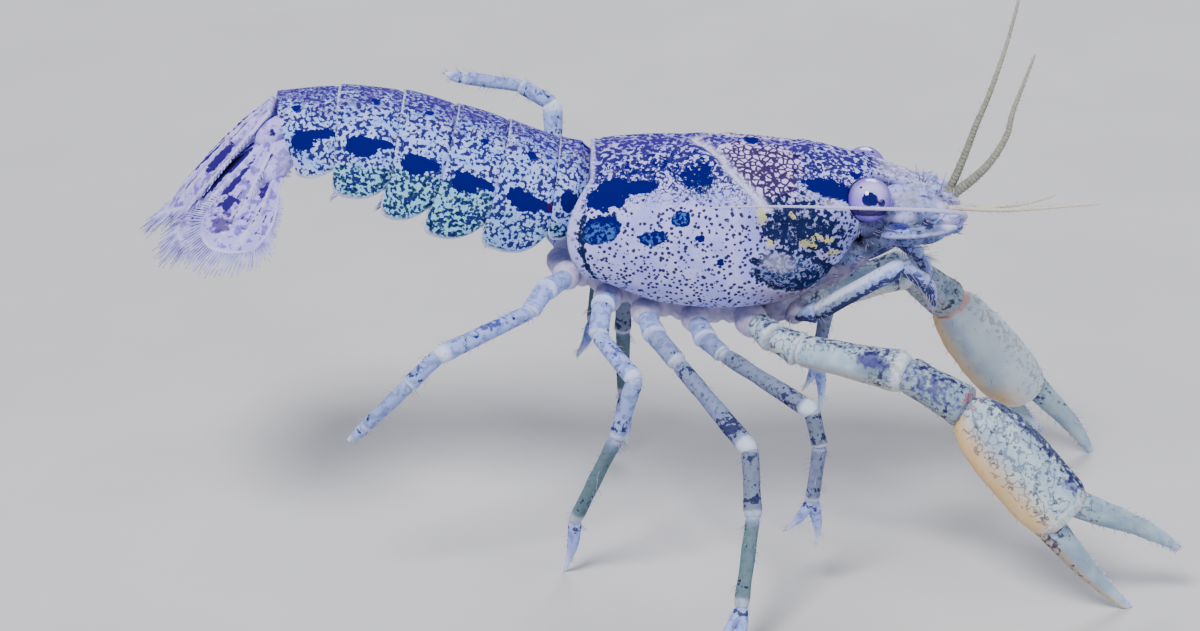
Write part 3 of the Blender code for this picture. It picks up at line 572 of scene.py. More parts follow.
CLAW_FINISH = Finish("claw shell", ink(154, 178, 202), (
    Layer(Pattern.NETWORK, ink(186, 206, 216), 0.8, 0.5, 0.12, 0.8),
    Layer(Pattern.SOFT, ink(224, 182, 114), strength=0.8, mark=Mark.YELLOW),
    Layer(Pattern.LINES, ink(52, 50, 92), 0.50, 0.030, 0.020, 0.55, Mark.CLEAR, outside=True, ragged=1.6),
    Layer(Pattern.NETWORK, ink(60, 58, 98), 0.22, 0.385, 0.03, 0.75, Mark.CLEAR, outside=True, ragged=1.2),
    Layer(Pattern.SOFT, ink(100, 118, 136), strength=0.8, mark=Mark.TEAL),
    Layer(Pattern.RAGGED, ink(58, 48, 128), 0.24, soft=0.16, strength=0.75, mark=Mark.BLOTCH, ragged=1.6),
    Layer(Pattern.RAGGED, ink(38, 32, 84), 0.24, soft=0.14, strength=0.85, mark=Mark.DARK, ragged=1.7),
    Layer(Pattern.RAGGED, ink(200, 84, 48), 0.30, soft=0.16, strength=0.85, mark=Mark.PURPLE, ragged=0.9),
    Layer(Pattern.SOFT, ink(224, 232, 240), strength=0.85, mark=Mark.PALE),
), glow=0.2)
EYE_FINISH = Finish("eye globe", ink(156, 136, 240), (
    # Painted highlight on the eye's upper half.
    Layer(Pattern.SOFT, ink(212, 204, 249), strength=0.68, mark=Mark.PALE),
    Layer(Pattern.SOFT, ink(88, 56, 184), strength=0.75, mark=Mark.TEAL),
    # The eye's purple: its specks, its stalk, and the painted shadow and reflection of the near feeler in the band
    # below the middle.
    Layer(Pattern.RAGGED, ink(36, 8, 92), 0.14, soft=0.08, mark=Mark.PURPLE, ragged=0.5),
    Layer(Pattern.RAGGED, ink(15, 13, 98), 0.12, soft=0.05, mark=Mark.DARK, ragged=0.5),
), roughness=0.10, gloss=1.0, relief=0.0)
HEAD_FINISH = Finish("snout shell", ink(156, 168, 246), (
    Layer(Pattern.NETWORK, ink(104, 134, 188), 0.60, 0.5, 0.10, 0.75),
    Layer(Pattern.NETWORK, ink(64, 72, 136), 0.19, 0.445, 0.04, 0.8),
    Layer(Pattern.SOFT, ink(96, 108, 132), strength=0.8, mark=Mark.CLEAR),
    # Painted shade in the hollow under the eye.
    Layer(Pattern.SOFT, ink(54, 56, 74), strength=0.85, mark=Mark.BROWN),
    Layer(Pattern.RAGGED, ink(30, 34, 124), 0.20, soft=0.08, strength=0.9, mark=Mark.BLOTCH, ragged=1.2),
    Layer(Pattern.RAGGED, ink(26, 20, 78), 0.18, soft=0.08, strength=0.85, mark=Mark.DARK, ragged=1.6),
    # Pale places, partly painted highlights: the streak along the snout and the upper halves of the lobes.
    Layer(Pattern.SOFT, ink(216, 212, 249), strength=0.85, mark=Mark.PALE),
), glow=0.2)
FEELER_FINISH = Finish("feeler shell", ink(132, 136, 126), (
    Layer(Pattern.NETWORK, ink(92, 98, 88), 0.20, 0.46, 0.08, 0.6),
    Layer(Pattern.RAGGED, ink(58, 52, 56), 0.16, soft=0.08, strength=0.8, mark=Mark.DARK, ragged=0.8),
    Layer(Pattern.SOFT, ink(222, 212, 196), strength=0.9, mark=Mark.PALE),
    Layer(Pattern.SOFT, ink(190, 186, 240), strength=0.9, mark=Mark.RIM),
))
UNDERSIDE_FINISH = Finish("underside skin", ink(190, 182, 212), (
    Layer(Pattern.NETWORK, ink(118, 116, 168), 0.36, 0.46, 0.09, 0.6),
    Layer(Pattern.SOFT, ink(60, 60, 104), strength=0.7, mark=Mark.DARK),
    # Pale places, with a painted highlight on the jaws' upper halves.
    Layer(Pattern.SOFT, ink(208, 204, 236), strength=0.8, mark=Mark.PALE),
))
BRISTLE_FINISH = Finish("bristles", ink(168, 168, 206), (
    Layer(Pattern.NETWORK, ink(116, 114, 158), 0.9, 0.5, 0.2, 0.7),
), glow=0.0, relief=0.0)
FRINGE_FINISH = Finish("fan bristles", ink(200, 200, 249), (
    Layer(Pattern.NETWORK, ink(120, 112, 206), 0.5, 0.5, 0.15, 0.7),
), glow=0.0, relief=0.0)


def read_at(table: Rows, places: Points) -> list[Points]:
    """Reads a table's other columns at places along its first one, on smooth curves.

    Args:
        table: rows whose first column runs steadily one way.
        places: where to read it.

    Returns:
        One array for each further column.
    """
    fine = smooth_rows(table, 24 * len(table))
    if fine[0, 0] > fine[-1, 0]:
        fine = fine[::-1]
    return [np.interp(places, fine[:, 0], fine[:, k]) for k in range(1, fine.shape[1])]


def normals_of(grid: Points) -> Points:
    """The directions out of a grid of closed rings.

    Args:
        grid: rings by points by 3.

    Returns:
        Unit vectors, rings by points by 3.
    """
    along = np.gradient(grid, axis=0)
    across = np.roll(grid, -1, axis=1) - np.roll(grid, 1, axis=1)
    out = np.cross(along, across)
    out /= np.maximum(np.linalg.norm(out, axis=2, keepdims=True), 1e-9)
    away = grid - grid.mean(axis=1, keepdims=True)
    sign = np.sign((out * away).sum(axis=2).mean(axis=1))[:, None, None]
    return out * sign


def wobble(grid: Points, size: float, depth: float) -> Points:
    """Moves a grid's points out and in by slow waves, so that it isn't perfectly even.

    Args:
        grid: rings by points by 3.
        size: how wide the waves are.
        depth: how high.

    Returns:
        The moved grid.
    """
    flat = grid.reshape(-1, 3) / size
    wave = np.array([noise.noise(Vector(point)) for point in flat]).reshape(grid.shape[:2])
    return grid + normals_of(grid) * (wave * depth)[:, :, None]


def unit(vector: Points) -> Points:
    """A vector of length 1 in the same direction."""
    vector = np.asarray(vector, float)
    return vector / np.linalg.norm(vector)


def tube(path: Points, wide: Points, high: Points, reference: Points, columns: int = 24) -> Points:
    """Oval rings along a path.

    Args:
        path: the middle line.
        wide: the rings' half-widths, square to the reference.
        high: their half-heights.
        reference: a direction that the half-heights lie towards.
        columns: the points in a ring.

    Returns:
        Rings by points by 3.
    """
    along = np.gradient(path, axis=0)
    along /= np.linalg.norm(along, axis=1, keepdims=True)
    across = np.cross(np.broadcast_to(reference, along.shape), along)
    across /= np.linalg.norm(across, axis=1, keepdims=True)
    upward = np.cross(along, across)
    turn = circle(columns)
    side = across[:, None] * np.cos(turn)[None, :, None] * np.reshape(wide, (-1, 1, 1))
    rise = upward[:, None] * np.sin(turn)[None, :, None] * np.reshape(high, (-1, 1, 1))
    return path[:, None] + side + rise


def ball(middle: Points, radii: Points, axis: Points = UP, rows: int = 18, columns: int = 24) -> Points:
    """An egg-shaped surface.

    Args:
        middle: its middle.
        radii: its half-length along the axis and its half-widths across it, square to the reference and not.
        axis: the direction of its length.
        rows: rings from end to end.
        columns: points in a ring.

    Returns:
        Rings by points by 3.
    """
    turn = np.linspace(0.06, math.pi - 0.06, rows)
    path = np.asarray(middle) - np.cos(turn)[:, None] * unit(axis) * radii[0]
    reference = LEFTWARDS if abs(unit(axis)[2]) > 0.8 else UP
    return tube(path, np.sin(turn) * radii[1], np.sin(turn) * radii[2], reference, columns)


@dataclass
class Scatter:
    """Small shapes repeated at points, each turned along its own direction, by one Geometry Nodes tree."""

    name: str
    form: Form = Form.BRISTLE
    width: float = 1.0
    length: float = 1.0
    variation: float = 0.25
    seed: int = 7
    places: list = field(default_factory=list)
    ways: list = field(default_factory=list)
    sizes: list = field(default_factory=list)

    def add(self, place: Points, way: Points, thickness: float, length: float) -> None:
        """Adds one shape.

        Args:
            place: where it is rooted.
            way: the direction that it points in.
            thickness: its radius.
            length: how long it is.
        """
        self.places.append(place)
        self.ways.append(unit(way))
        self.sizes.append((thickness, thickness, length))

    def tree(self) -> bpy.types.NodeTree:
        """Builds the node tree.

        Returns:
            The tree, with the inputs Width, Length, Variation, Seed and Material.
        """
        group = bpy.data.node_groups.new(f"{self.name} scatter", "GeometryNodeTree")
        socket = group.interface.new_socket
        socket("Geometry", in_out="INPUT", socket_type="NodeSocketGeometry")
        for label, kind in (("Width", "Float"), ("Length", "Float"), ("Variation", "Float"),
                            ("Seed", "Int"), ("Material", "Material")):
            socket(label, in_out="INPUT", socket_type=f"NodeSocket{kind}")
        socket("Geometry", in_out="OUTPUT", socket_type="NodeSocketGeometry")
        add = partial(add_node, group)
        given = add("NodeGroupInput", {}).outputs
        if self.form is Form.BRISTLE:
            shape = add("GeometryNodeMeshCone", {"Vertices": 5, "Radius Top": 0.35, "Radius Bottom": 1.0, "Depth": 1.0})
        else:
            shape = add("GeometryNodeMeshIcoSphere", {"Subdivisions": 2})
        way, size = (add("GeometryNodeInputNamedAttribute", {"Name": label}, data_type="FLOAT_VECTOR").outputs[0]
                     for label in ("way", "size"))
        turn = add("FunctionNodeAlignRotationToVector", {"Vector": way}, axis="Z").outputs[0]
        low, high = (add("ShaderNodeMath", {0: 1.0, 1: given["Variation"]}, operation=operation).outputs[0]
                     for operation in ("SUBTRACT", "ADD"))
        chance = add("FunctionNodeRandomValue", {2: low, 3: high, "Seed": given["Seed"]}, data_type="FLOAT")
        reach = add("ShaderNodeMath", {0: given["Length"], 1: chance.outputs[1]}, operation="MULTIPLY")
        scale = add("ShaderNodeCombineXYZ", {"X": given["Width"], "Y": given["Width"], "Z": reach.outputs[0]})
        fitted = add("ShaderNodeVectorMath", {0: size, 1: scale.outputs[0]}, operation="MULTIPLY")
        spread = add("GeometryNodeInstanceOnPoints", {"Points": given["Geometry"], "Instance": shape.outputs["Mesh"],
                                                      "Rotation": turn, "Scale": fitted.outputs[0]})
        solid = add("GeometryNodeRealizeInstances", {0: spread.outputs[0]})
        dye = add("GeometryNodeSetMaterial", {"Geometry": solid.outputs[0], "Material": given["Material"]})
        add("NodeGroupOutput", {0: dye.outputs[0]})
        return group

    def build(self, finish: Finish, slot: str) -> bpy.types.Object:
        """Makes the piece.

        Args:
            finish: its finish.
            slot: the record's material slot.

        Returns:
            The piece, a plain mesh.
        """
        mesh = bpy.data.meshes.new(f"{self.name} points")
        mesh.from_pydata(((np.array(self.places) + ORIGIN) * MM).tolist(), [], [])
        for label, values in (("way", self.ways), ("size", np.array(self.sizes) * MM)):
            layer = mesh.attributes.new(label, "FLOAT_VECTOR", "POINT")
            layer.data.foreach_set("vector", np.asarray(values, np.float32).ravel())
        item = bpy.data.objects.new(f"{self.name} points", mesh)
        bpy.context.scene.collection.objects.link(item)
        tree = self.tree()
        modifier = item.modifiers.new("scatter", "NODES")
        modifier.node_group = tree
        values = {"Width": self.width, "Length": self.length, "Variation": self.variation,
                  "Seed": self.seed, "Material": finish.use()}
        for socket in tree.interface.items_tree:
            if socket.in_out == "INPUT" and socket.name in values:
                modifier[socket.identifier] = values[socket.name]
        bpy.context.view_layer.update()
        graph = bpy.context.evaluated_depsgraph_get()
        solid = bpy.data.meshes.new_from_object(item.evaluated_get(graph), depsgraph=graph)
        item.modifiers.clear()
        bpy.data.objects.remove(item)
        piece = bpy.data.objects.new(self.name, solid)
        bpy.context.scene.collection.objects.link(piece)
        solid.shade_smooth()
        return dress(piece, finish, slot)


@dataclass
class Studio:
    """The camera at the photograph's angle, a plain pale floor and soft lights."""

    target: tuple[float, float, float] = (-2.7, 0.0, 10.32)
    elevation: float = 22.0
    distance: float = 180.0
    pixels_per_mm: float = 23.0
    image_width: float = 1200.0
    sensor: float = 36.0
    floor_reach: float = 1500.0
    sky: tuple[float, float, float, float] = (0.86, 0.90, 1.0, 1.0)
    sky_strength: float = 0.24
    lamps: tuple = (("key", (-70.0, -150.0, 230.0), 95.0, 1.05, (1.0, 0.98, 0.95)),
                    ("fill", (190.0, -120.0, 90.0), 150.0, 0.22, (0.92, 0.95, 1.0)),
                    ("back", (40.0, 210.0, 170.0), 140.0, 0.55, (0.95, 0.96, 1.0)))

    def aim(self, item: bpy.types.Object, place: Points, target: Points) -> None:
        """Puts a lamp or the camera at a place and turns it to a target.

        Args:
            item: the lamp or the camera.
            place: where it stands.
            target: what it looks at.
        """
        item.location = Vector((place + ORIGIN) * MM)
        item.rotation_euler = Vector(target - place).to_track_quat("-Z", "Y").to_euler()
        bpy.context.scene.collection.objects.link(item)

    def build(self) -> None:
        """Makes the camera, the lamps, the world's light and the floor."""
        scene = bpy.context.scene
        target, slope = np.array(self.target), math.radians(self.elevation)
        data = bpy.data.cameras.new("camera")
        data.sensor_width = self.sensor
        data.lens = self.sensor * self.distance * self.pixels_per_mm / self.image_width
        data.clip_start, data.clip_end = 0.005, 20.0
        camera = bpy.data.objects.new("camera", data)
        self.aim(camera, target + self.distance * np.array((0.0, -math.cos(slope), math.sin(slope))), target)
        scene.camera = camera
        for name, place, size, power, colour in self.lamps:
            light = bpy.data.lights.new(name, "AREA")
            light.shape, light.size, light.energy, light.color = "DISK", size * MM, power, colour
            self.aim(bpy.data.objects.new(name, light), np.array(place), target)
        scene.world = bpy.data.worlds.new("studio")
        scene.world.use_nodes = True
        sky = scene.world.node_tree.nodes["Background"]
        sky.inputs["Color"].default_value = self.sky
        sky.inputs["Strength"].default_value = self.sky_strength
        mesh = bpy.data.meshes.new("floor")
        reach = self.floor_reach * MM
        corners = [(-reach, -reach, 0.0), (reach, -reach, 0.0), (reach, reach, 0.0), (-reach, reach, 0.0)]
        mesh.from_pydata(corners, [], [(0, 1, 2, 3)])
        floor = bpy.data.objects.new("floor", mesh)
        scene.collection.objects.link(floor)
        plain = Finish("floor", ink(198, 198, 201), (
            Layer(Pattern.NETWORK, ink(190, 190, 194), 9.0, 0.5, 0.3, 0.8),), 0.7, 0.0, 0.0, 2.0, 0.0)
        mesh.materials.append(plain.use())


@dataclass
class Carapace:
    """The shield over head and chest: its rostrum, orbits, grooves and painted marks."""

    sections: Rows = (
        (-3.1, 3.45, 3.10, 0.20, -1.85, 2.05), (-1.9, 3.60, 3.42, 0.10, -2.30, 2.15),
        (-0.4, 3.68, 3.62, 0.00, -2.85, 2.25), (1.6, 3.70, 3.72, 0.00, -3.10, 2.30),
        (3.8, 3.62, 3.70, 0.00, -3.05, 2.30), (5.2, 3.48, 3.55, 0.05, -2.85, 2.20),
        (6.4, 3.30, 3.25, 0.20, -2.25, 2.00), (7.4, 3.12, 2.85, 0.45, -1.35, 1.75),
        (8.2, 2.98, 2.35, 0.80, -0.30, 1.45))
    rostrum: Rows = (
        (7.0, 3.00, 1.50, 1.10), (8.2, 2.96, 1.20, 0.90), (9.2, 2.66, 0.98, 0.72),
        (10.2, 2.30, 0.82, 0.62), (11.0, 1.98, 0.68, 0.55), (11.4, 1.78, 0.40, 0.50),
        (12.0, 1.40, 0.28, 0.45), (12.7, 0.98, 0.10, 0.20))
    front: float = 8.2
    beak: float = 8.95
    lip: float = 0.45
    lip_depth: float = 0.75
    bulge: Rows = ((-3.1, 1.0), (-1.9, 0.35), (-0.4, 0.0))
    orbit: tuple[float, float, float] = (8.75, 1.98, 1.62)
    orbit_radius: float = 1.01
    groove: Rows = ((1.35, 0.0), (1.50, 0.3), (1.87, 0.7), (2.47, 1.55), (2.78, 2.25), (3.87, 3.45),
                    (4.7, 4.3), (5.6, 5.1), (6.3, 5.6))
    ridge: Rows = ((5.9, 1.25), (7.2, 1.35), (8.3, 1.45))
    heart_line: Rows = ((-3.1, 0.62), (-1.0, 0.55), (0.9, 0.42))
    cheek: tuple[float, float, float, float] = (5.56, 6.65, 1.65, 0.95)

    def half_section(self, x: Points) -> tuple[Points, Points, Points]:
        """One side of the cross-sections.

        Args:
            x: how far forward each one is.

        Returns:
            The points' distances to the side, their heights, and their ways down from the back's middle.
        """
        top, width, level, edge, out = (
            column[:, None] for column in read_at(self.sections, np.minimum(x, self.front)))
        theta = np.linspace(0.0, math.pi / 2, 34)[None]
        phi = np.linspace(0.0, math.pi / 2, 30)[None, 1:]
        sole = edge + self.lip_depth
        y = np.hstack((width * np.sin(theta), out + (width - out) * np.cos(phi), out - self.lip,
                       out - 1.1 * self.lip, 0.5 * out, 0.0 * out))
        z = np.hstack((level + (top - level) * np.cos(theta), level - (level - edge) * np.sin(phi),
                       edge + 0.1 * self.lip, sole, sole, sole))
        step = np.hypot(np.diff(y, axis=1), np.diff(z, axis=1))
        down = np.hstack((np.zeros((len(x), 1)), np.cumsum(step, axis=1)))
        top, width, thick = (column[:, None] for column in read_at(self.rostrum, np.maximum(x, 7.0)))
        dip = 0.30 * thick * (1.0 - np.sin(theta)) * ease(x, 8.5, 9.6)[:, None]
        beak_y = np.hstack((width * np.sin(theta), width * (0.6 + 0.4 * np.cos(phi)), 0.55 * width,
                            0.45 * width, 0.2 * width, 0.0 * width))
        beak_z = np.hstack((top - 0.30 * thick * (1.0 - np.cos(theta)) - dip,
                            top - thick * (0.30 + 0.68 * np.sin(phi)), *[top - thick] * 4))
        share = ease(x, self.front, self.beak)[:, None]
        return y + (beak_y - y) * share, z + (beak_z - z) * share, down

    def surface(self) -> tuple[Points, Points, Points]:
        """The shield's grid, with each point's distance forward and way down from the back's middle.

        Returns:
            The grid, the distances forward and the ways down.
        """
        rear, tip = self.sections[0][0], self.rostrum[-1][0]
        x = np.concatenate((np.linspace(rear, self.front, 150)[:-1],
                            np.linspace(self.front, self.beak, 22)[:-1], np.linspace(self.beak, tip, 54)))
        y, z, down = self.half_section(x)
        forward = np.broadcast_to(x[:, None], y.shape)
        bulge = np.interp(x, *np.transpose(self.bulge))[:, None]
        swept = forward - bulge * np.maximum(0.0, 1.0 - ((z - 0.3) / 2.3) ** 2)
        half = np.stack((swept, y, z + BODY_HEIGHT), axis=2)
        other = half[:, -2:0:-1] * (1.0, -1.0, 1.0)
        grid = np.concatenate((half, other), axis=1)
        forward, down = (np.hstack((value, value[:, -2:0:-1])) for value in (forward, down))
        return grid, forward, down

    def carve(self, grid: Points, x: Points, s: Points) -> Points:
        """Presses the grooves in, raises the ridges and hollows the orbits.

        Args:
            grid: the surface.
            x: distances forward.
            s: ways down from the back's middle.

        Returns:
            The carved surface.
        """
        near = along_line(x, s, self.groove)
        rise = -0.15 * np.exp(-((near / 0.20) ** 2)) + 0.05 * np.exp(-(((near - 0.52) / 0.28) ** 2))
        rise += 0.07 * np.exp(-((along_line(x, s, self.ridge) / 0.18) ** 2))
        rise -= 0.07 * np.exp(-((along_line(x, s, self.heart_line) / 0.14) ** 2))
        cx, cs, rx, rs = self.cheek
        ring = np.hypot((x - cx) / rx, (s - cs) / rs)
        rise += 0.10 * (1.0 - ease(ring, 0.3, 1.0)) - 0.08 * np.exp(-(((ring - 1.05) / 0.14) ** 2))
        rise -= 0.06 * hump(x, -2.72, 0.16) * (s < 8.3)
        rise *= 1.0 - ease(x, self.front - 0.3, self.front + 0.3)
        grid = grid + normals_of(grid) * rise[:, :, None]
        for side in Side:
            middle = on_body(self.orbit, side.value)
            away = grid - middle
            far = np.linalg.norm(away, axis=2, keepdims=True)
            grid = np.where(far < self.orbit_radius, middle + away / far * self.orbit_radius, grid)
        return grid

    def paint(self, x: Points, s: Points) -> dict:
        """The painted marks.

        Args:
            x: distances forward.
            s: ways down from the back's middle.

        Returns:
            Strengths by Mark.
        """
        blotches = (((-2.11, 3.17), (0.78, 0.72)), ((-0.95, 3.02), (0.74, 0.30)), ((-2.20, 4.70), (0.60, 0.62)),
                    ((-0.40, 5.25), (0.58, 0.30)), ((0.71, 4.47), (0.40, 0.34)), ((1.52, 5.30), (0.22, 0.20)),
                    ((2.38, 6.42), (0.20, 0.13)), ((7.1, 2.56), (1.25, 0.42)), ((3.8, 0.15), (0.34, 0.24)),
                    ((8.2, 1.6), (0.24, 0.14)))
        blotch = np.clip(1.7 * patches(x, s, blotches) - 0.35, 0.0, 1.0)
        for strength, *place in ((0.43, (-0.4, 2.0), (2.9, 0.95)), (0.72, (1.46, 2.50), (0.80, 0.85)),
                                 (0.30, (7.2, 1.9), (1.6, 0.8))):
            blotch = np.maximum(blotch, strength * patch(x, s, *place))
        groove = along_line(x, s, self.groove)
        rear_of_groove = np.interp(s, [row[1] for row in self.groove], [row[0] for row in self.groove])
        purple = patch(x, s, (3.9, 2.0), (2.1, 1.7)) * ease(x - rear_of_groove, 0.0, 0.5) * (1.0 - blotch)
        cx, cs, rx, rs = self.cheek
        ring = np.hypot((x - cx) / rx, (s - cs) / rs)
        facing = (x - cx) / rx * 0.8 + (s - cs) / rs * 0.6
        crescent = np.exp(-(((ring - 1.0) / 0.20) ** 2)) * (0.55 + 0.45 * ease(facing, -0.6, 0.6))
        dark = 0.74 * patch(x, s, (5.7, 4.5), (2.4, 1.4)) * ease(x, 3.7, 4.3)
        dark = np.maximum(dark, crescent)
        dark = np.maximum(dark, 0.62 * (1.0 - ease(ring, 0.5, 1.0)) * ease(facing, -0.5, 0.5))
        dark = np.maximum(dark, 0.8 * hump(x, -2.72, 0.20) * ease(s, 3.4, 4.2) * (1.0 - ease(s, 7.6, 8.3)))
        yellow = patches(x, s, (
            ((4.15, 4.15), (0.20, 0.42)), ((6.05, 5.15), (0.42, 0.16)), ((6.75, 4.75), (0.55, 0.13)),
            ((5.40, 4.05), (0.16, 0.12)), ((7.2, 5.3), (0.30, 0.12)), ((4.5, 5.4), (0.2, 0.16))))
        pale = np.exp(-((groove / 0.15) ** 2)) * (s < 4.0) + 0.42 * ease(x, 8.8, 9.8)
        pale = np.maximum(pale, 0.34 * patch(x, s, (4.85, 6.25), (0.60, 0.36)))
        pale = np.maximum(pale, 0.55 * patch(x, s, (7.35, 3.16), (0.55, 0.16)))
        brown = ease(s, 7.3, 7.7) * ease(x, 3.0, 5.5)
        brown = np.maximum(brown, ease(x + 0.75 * s, 12.4, 13.0) * ease(s, 5.4, 6.0)) * ease(ring, 1.1, 1.3)
        rim = 1.0 - ease(x, -3.0, -2.85)
        teal = patches(x, s, (((-2.2, 4.9), (0.8, 0.9)), ((-0.35, 5.25), (0.8, 0.5)), ((0.7, 4.45), (0.6, 0.55))))
        teal = teal * ease(blotch, 0.15, 0.55)
        teal = np.maximum(teal, 0.66 * patch(x, s, (1.54, 2.75), (0.95, 1.0)))
        teal = np.maximum(teal, 0.56 * (1.0 - ease(ring, 0.8, 1.05)))
        smoke = np.maximum(0.8 * (1.0 - ease(ring, 0.9, 1.2)), 0.62 * patch(x, s, (6.0, 4.45), (2.2, 1.3)))
        back = np.clip(1.0 - s / 7.4 - 0.12 * ease(x, 5.0, 7.0), 0.0, 1.0)
        return {Mark.BACK: back, Mark.BLOTCH: blotch, Mark.PURPLE: purple, Mark.TEAL: teal, Mark.DARK: dark,
                Mark.YELLOW: yellow, Mark.PALE: pale, Mark.RIM: rim, Mark.BROWN: brown, Mark.CLEAR: smoke}

    def build(self) -> None:
        """Makes the shield."""
        grid, x, s = self.surface()
        grid = wobble(self.carve(grid, x, s), 2.6, 0.06)
        first = grid[:1]
        middle = first.mean(axis=1, keepdims=True)
        inner = [middle + (first - middle) * girth + (step, 0.0, 0.0)
                 for girth, step in ((0.78, 0.9), (0.90, 0.28), (0.975, 0.03))]
        grid = np.concatenate((*inner, grid))
        x, s = (np.concatenate((value[:1], value[:1], value[:1], value)) for value in (x, s))
        shape = Shape()
        shape.add(grid, self.paint(x, s))
        dress(shape.build("carapace_shell"), CARAPACE_FINISH, "shell", "carapace")


@dataclass
class Abdomen:
    """Six jointed rings with side plates, and the paddles that hang under four of them."""

    stations: Rows = (
        (-3.40, 3.46, 6.0, 2.12, 2.80), (-4.40, 3.62, 8.0, 2.50, 2.85), (-6.55, 4.36, 15.0, 3.08, 2.90),
        (-8.75, 5.05, 16.0, 3.05, 2.80), (-11.05, 5.68, 10.0, 2.90, 2.65), (-13.80, 5.92, 2.0, 2.60, 2.35),
        (-16.45, 5.68, -8.0, 2.15, 1.90))
    depths: tuple[float, ...] = (0.90, 1.76, 1.94, 1.86, 1.50, 1.00)
    lobe: Rows = ((-0.3, 0.10), (-0.1, 0.28), (0.0, 0.50), (0.08, 0.72), (0.20, 0.91), (0.36, 1.0), (0.52, 1.02),
                  (0.70, 0.99), (0.85, 0.86), (0.95, 0.66), (1.0, 0.44))
    girth: Rows = ((-0.3, 0.88), (-0.04, 0.955), (0.05, 0.982), (0.14, 0.998), (0.38, 1.005), (0.66, 1.01),
                   (1.0, 1.016))
    plate_outline: Rows = ((1.0, 0.0), (0.998, 0.5), (0.97, 0.86), (0.90, 1.0))
    plate_thickness: float = 0.40
    sweep: float = 0.35
    undercut: float = 0.20
    belly_depth: float = 0.75
    paddles: tuple = ((0.20, 2.35), (-0.25, 2.08))
    paddle_out: float = 1.05
    paddle_widths: Rows = ((0, 0.16), (0.25, 0.20), (0.45, 0.30), (0.75, 0.36), (0.95, 0.22), (1, 0.08))
    rings: int = 6
    steps: int = 40
    painted_lengths: tuple[float, float] = (1.0, 2.4)
    blotch_drops: tuple[float, ...] = (0.0, 0.66, 0.76, 0.58, 0.12, -0.30)
    spots: Rows = ((0.0, 0.0), (1.75, 0.55), (1.9, 0.4), (1.15, 0.5), (1.0, 0.4), (1.3, 0.6))
    greens: tuple[float, ...] = (0.62, 0.45, 0.9, 1.0, 0.8, 0.3)

    def station(self, share: Points) -> tuple[Points, ...]:
        """The body's back, directions and sizes along its length.

        Args:
            share: places along it, counted in segments.

        Returns:
            The back's points, rearward and upward directions, half-widths and arch heights.
        """
        table = smooth_rows(self.stations, self.rings * self.steps + 1)
        place = np.clip(share, 0.0, self.rings) * self.steps
        x, z, slope, width, arch = (np.interp(place, np.arange(len(table)), column) for column in table.T)
        turn = np.radians(slope)
        rearward = np.stack((-np.cos(turn), 0 * turn, np.sin(turn)), axis=-1)
        upward = np.stack((np.sin(turn), 0 * turn, np.cos(turn)), axis=-1)
        back = np.stack((x, 0 * x, z + BODY_HEIGHT), axis=-1) + rearward * np.minimum(share, 0.0)[:, None] * 1.3
        return back, rearward, upward, width, arch

    def segment(self, index: int) -> None:
        """Makes one ring.

        Args:
            index: its number, from 0 behind the carapace.
        """
        t = np.concatenate((np.linspace(-0.26, 0.0, 8)[:-1], np.linspace(0.0, 1.0, 46)))
        back, rearward, upward, width, arch = self.station(index + t)
        girth, lobe = read_at(self.girth, t)[0], read_at(self.lobe, t)[0]
        turned_in = ((1.0, 1.0), (0.97, 0.955), (0.86, 0.90))
        middle = back - upward * arch[:, None]
        rows = [(*row,) for row in zip(middle, rearward, upward, width, arch, girth, lobe, t)]
        for share, size in turned_in:
            last = [np.interp(share, t, column) for column in (girth, lobe)]
            place = self.station(np.array((index + share,)))
            centre = place[0][0] - place[2][0] * place[4][0]
            rows.append((centre, *(value[0] for value in place[1:]), last[0] * size, last[1], share))
        t = np.concatenate((t, [share for share, _ in turned_in]))
        theta = np.linspace(0.0, math.pi / 2, 32)
        plate = smooth_rows(self.plate_outline, 16)[1:]
        grid, ways = [], []
        for centre, rear, up, wide, high, size, fall, share in rows:
            outer, depth = wide * size, self.depths[index] * fall
            y = np.concatenate((outer * np.sin(theta), outer * plate[:, 0], (
                outer * 0.90 - 0.6 * self.plate_thickness, outer * 0.90 - self.plate_thickness,
                outer - 0.9, 0.5 * outer, 0.0)))
            z = np.concatenate((high * size * np.cos(theta), -depth * plate[:, 1], (
                -depth + 0.05, -depth * 0.8, -self.belly_depth, -self.belly_depth, -self.belly_depth)))
            down = np.concatenate(((0.0,), np.cumsum(np.hypot(np.diff(y), np.diff(z)))))
            swept = self.sweep * fall * np.maximum(0.0, -z)
            if index == self.rings - 1:
                swept = swept - self.undercut * np.maximum(0.0, high - z) * ease(share, 0.3, 1.0)
            half = centre + np.outer(z, up) + np.outer(swept, rear) + np.outer(y, LEFTWARDS)
            grid.append(np.concatenate((half, half[-2:0:-1] * (1.0, -1.0, 1.0))))
            lower = ease(plate[:, 1] * depth, depth - 0.26, depth - 0.08)
            edge = np.concatenate((np.zeros(32), lower, np.ones(3), (0, 0)))
            ways.append([np.concatenate((value, value[-2:0:-1])) for value in (down, edge * ease(fall, 0.15, 0.5))])
        grid = wobble(np.array(grid), 1.9, 0.045)
        s, edge = np.array(ways).transpose(1, 0, 2)
        along = np.broadcast_to(t[:, None], s.shape)
        shape = Shape()
        shape.add(grid, self.paint(index, along, s, edge))
        piece = shape.build(f"abdomen_shell_{index + 1}")
        dress(piece, ABDOMEN_FINISH, "shell", f"abdomen_{index + 1}")

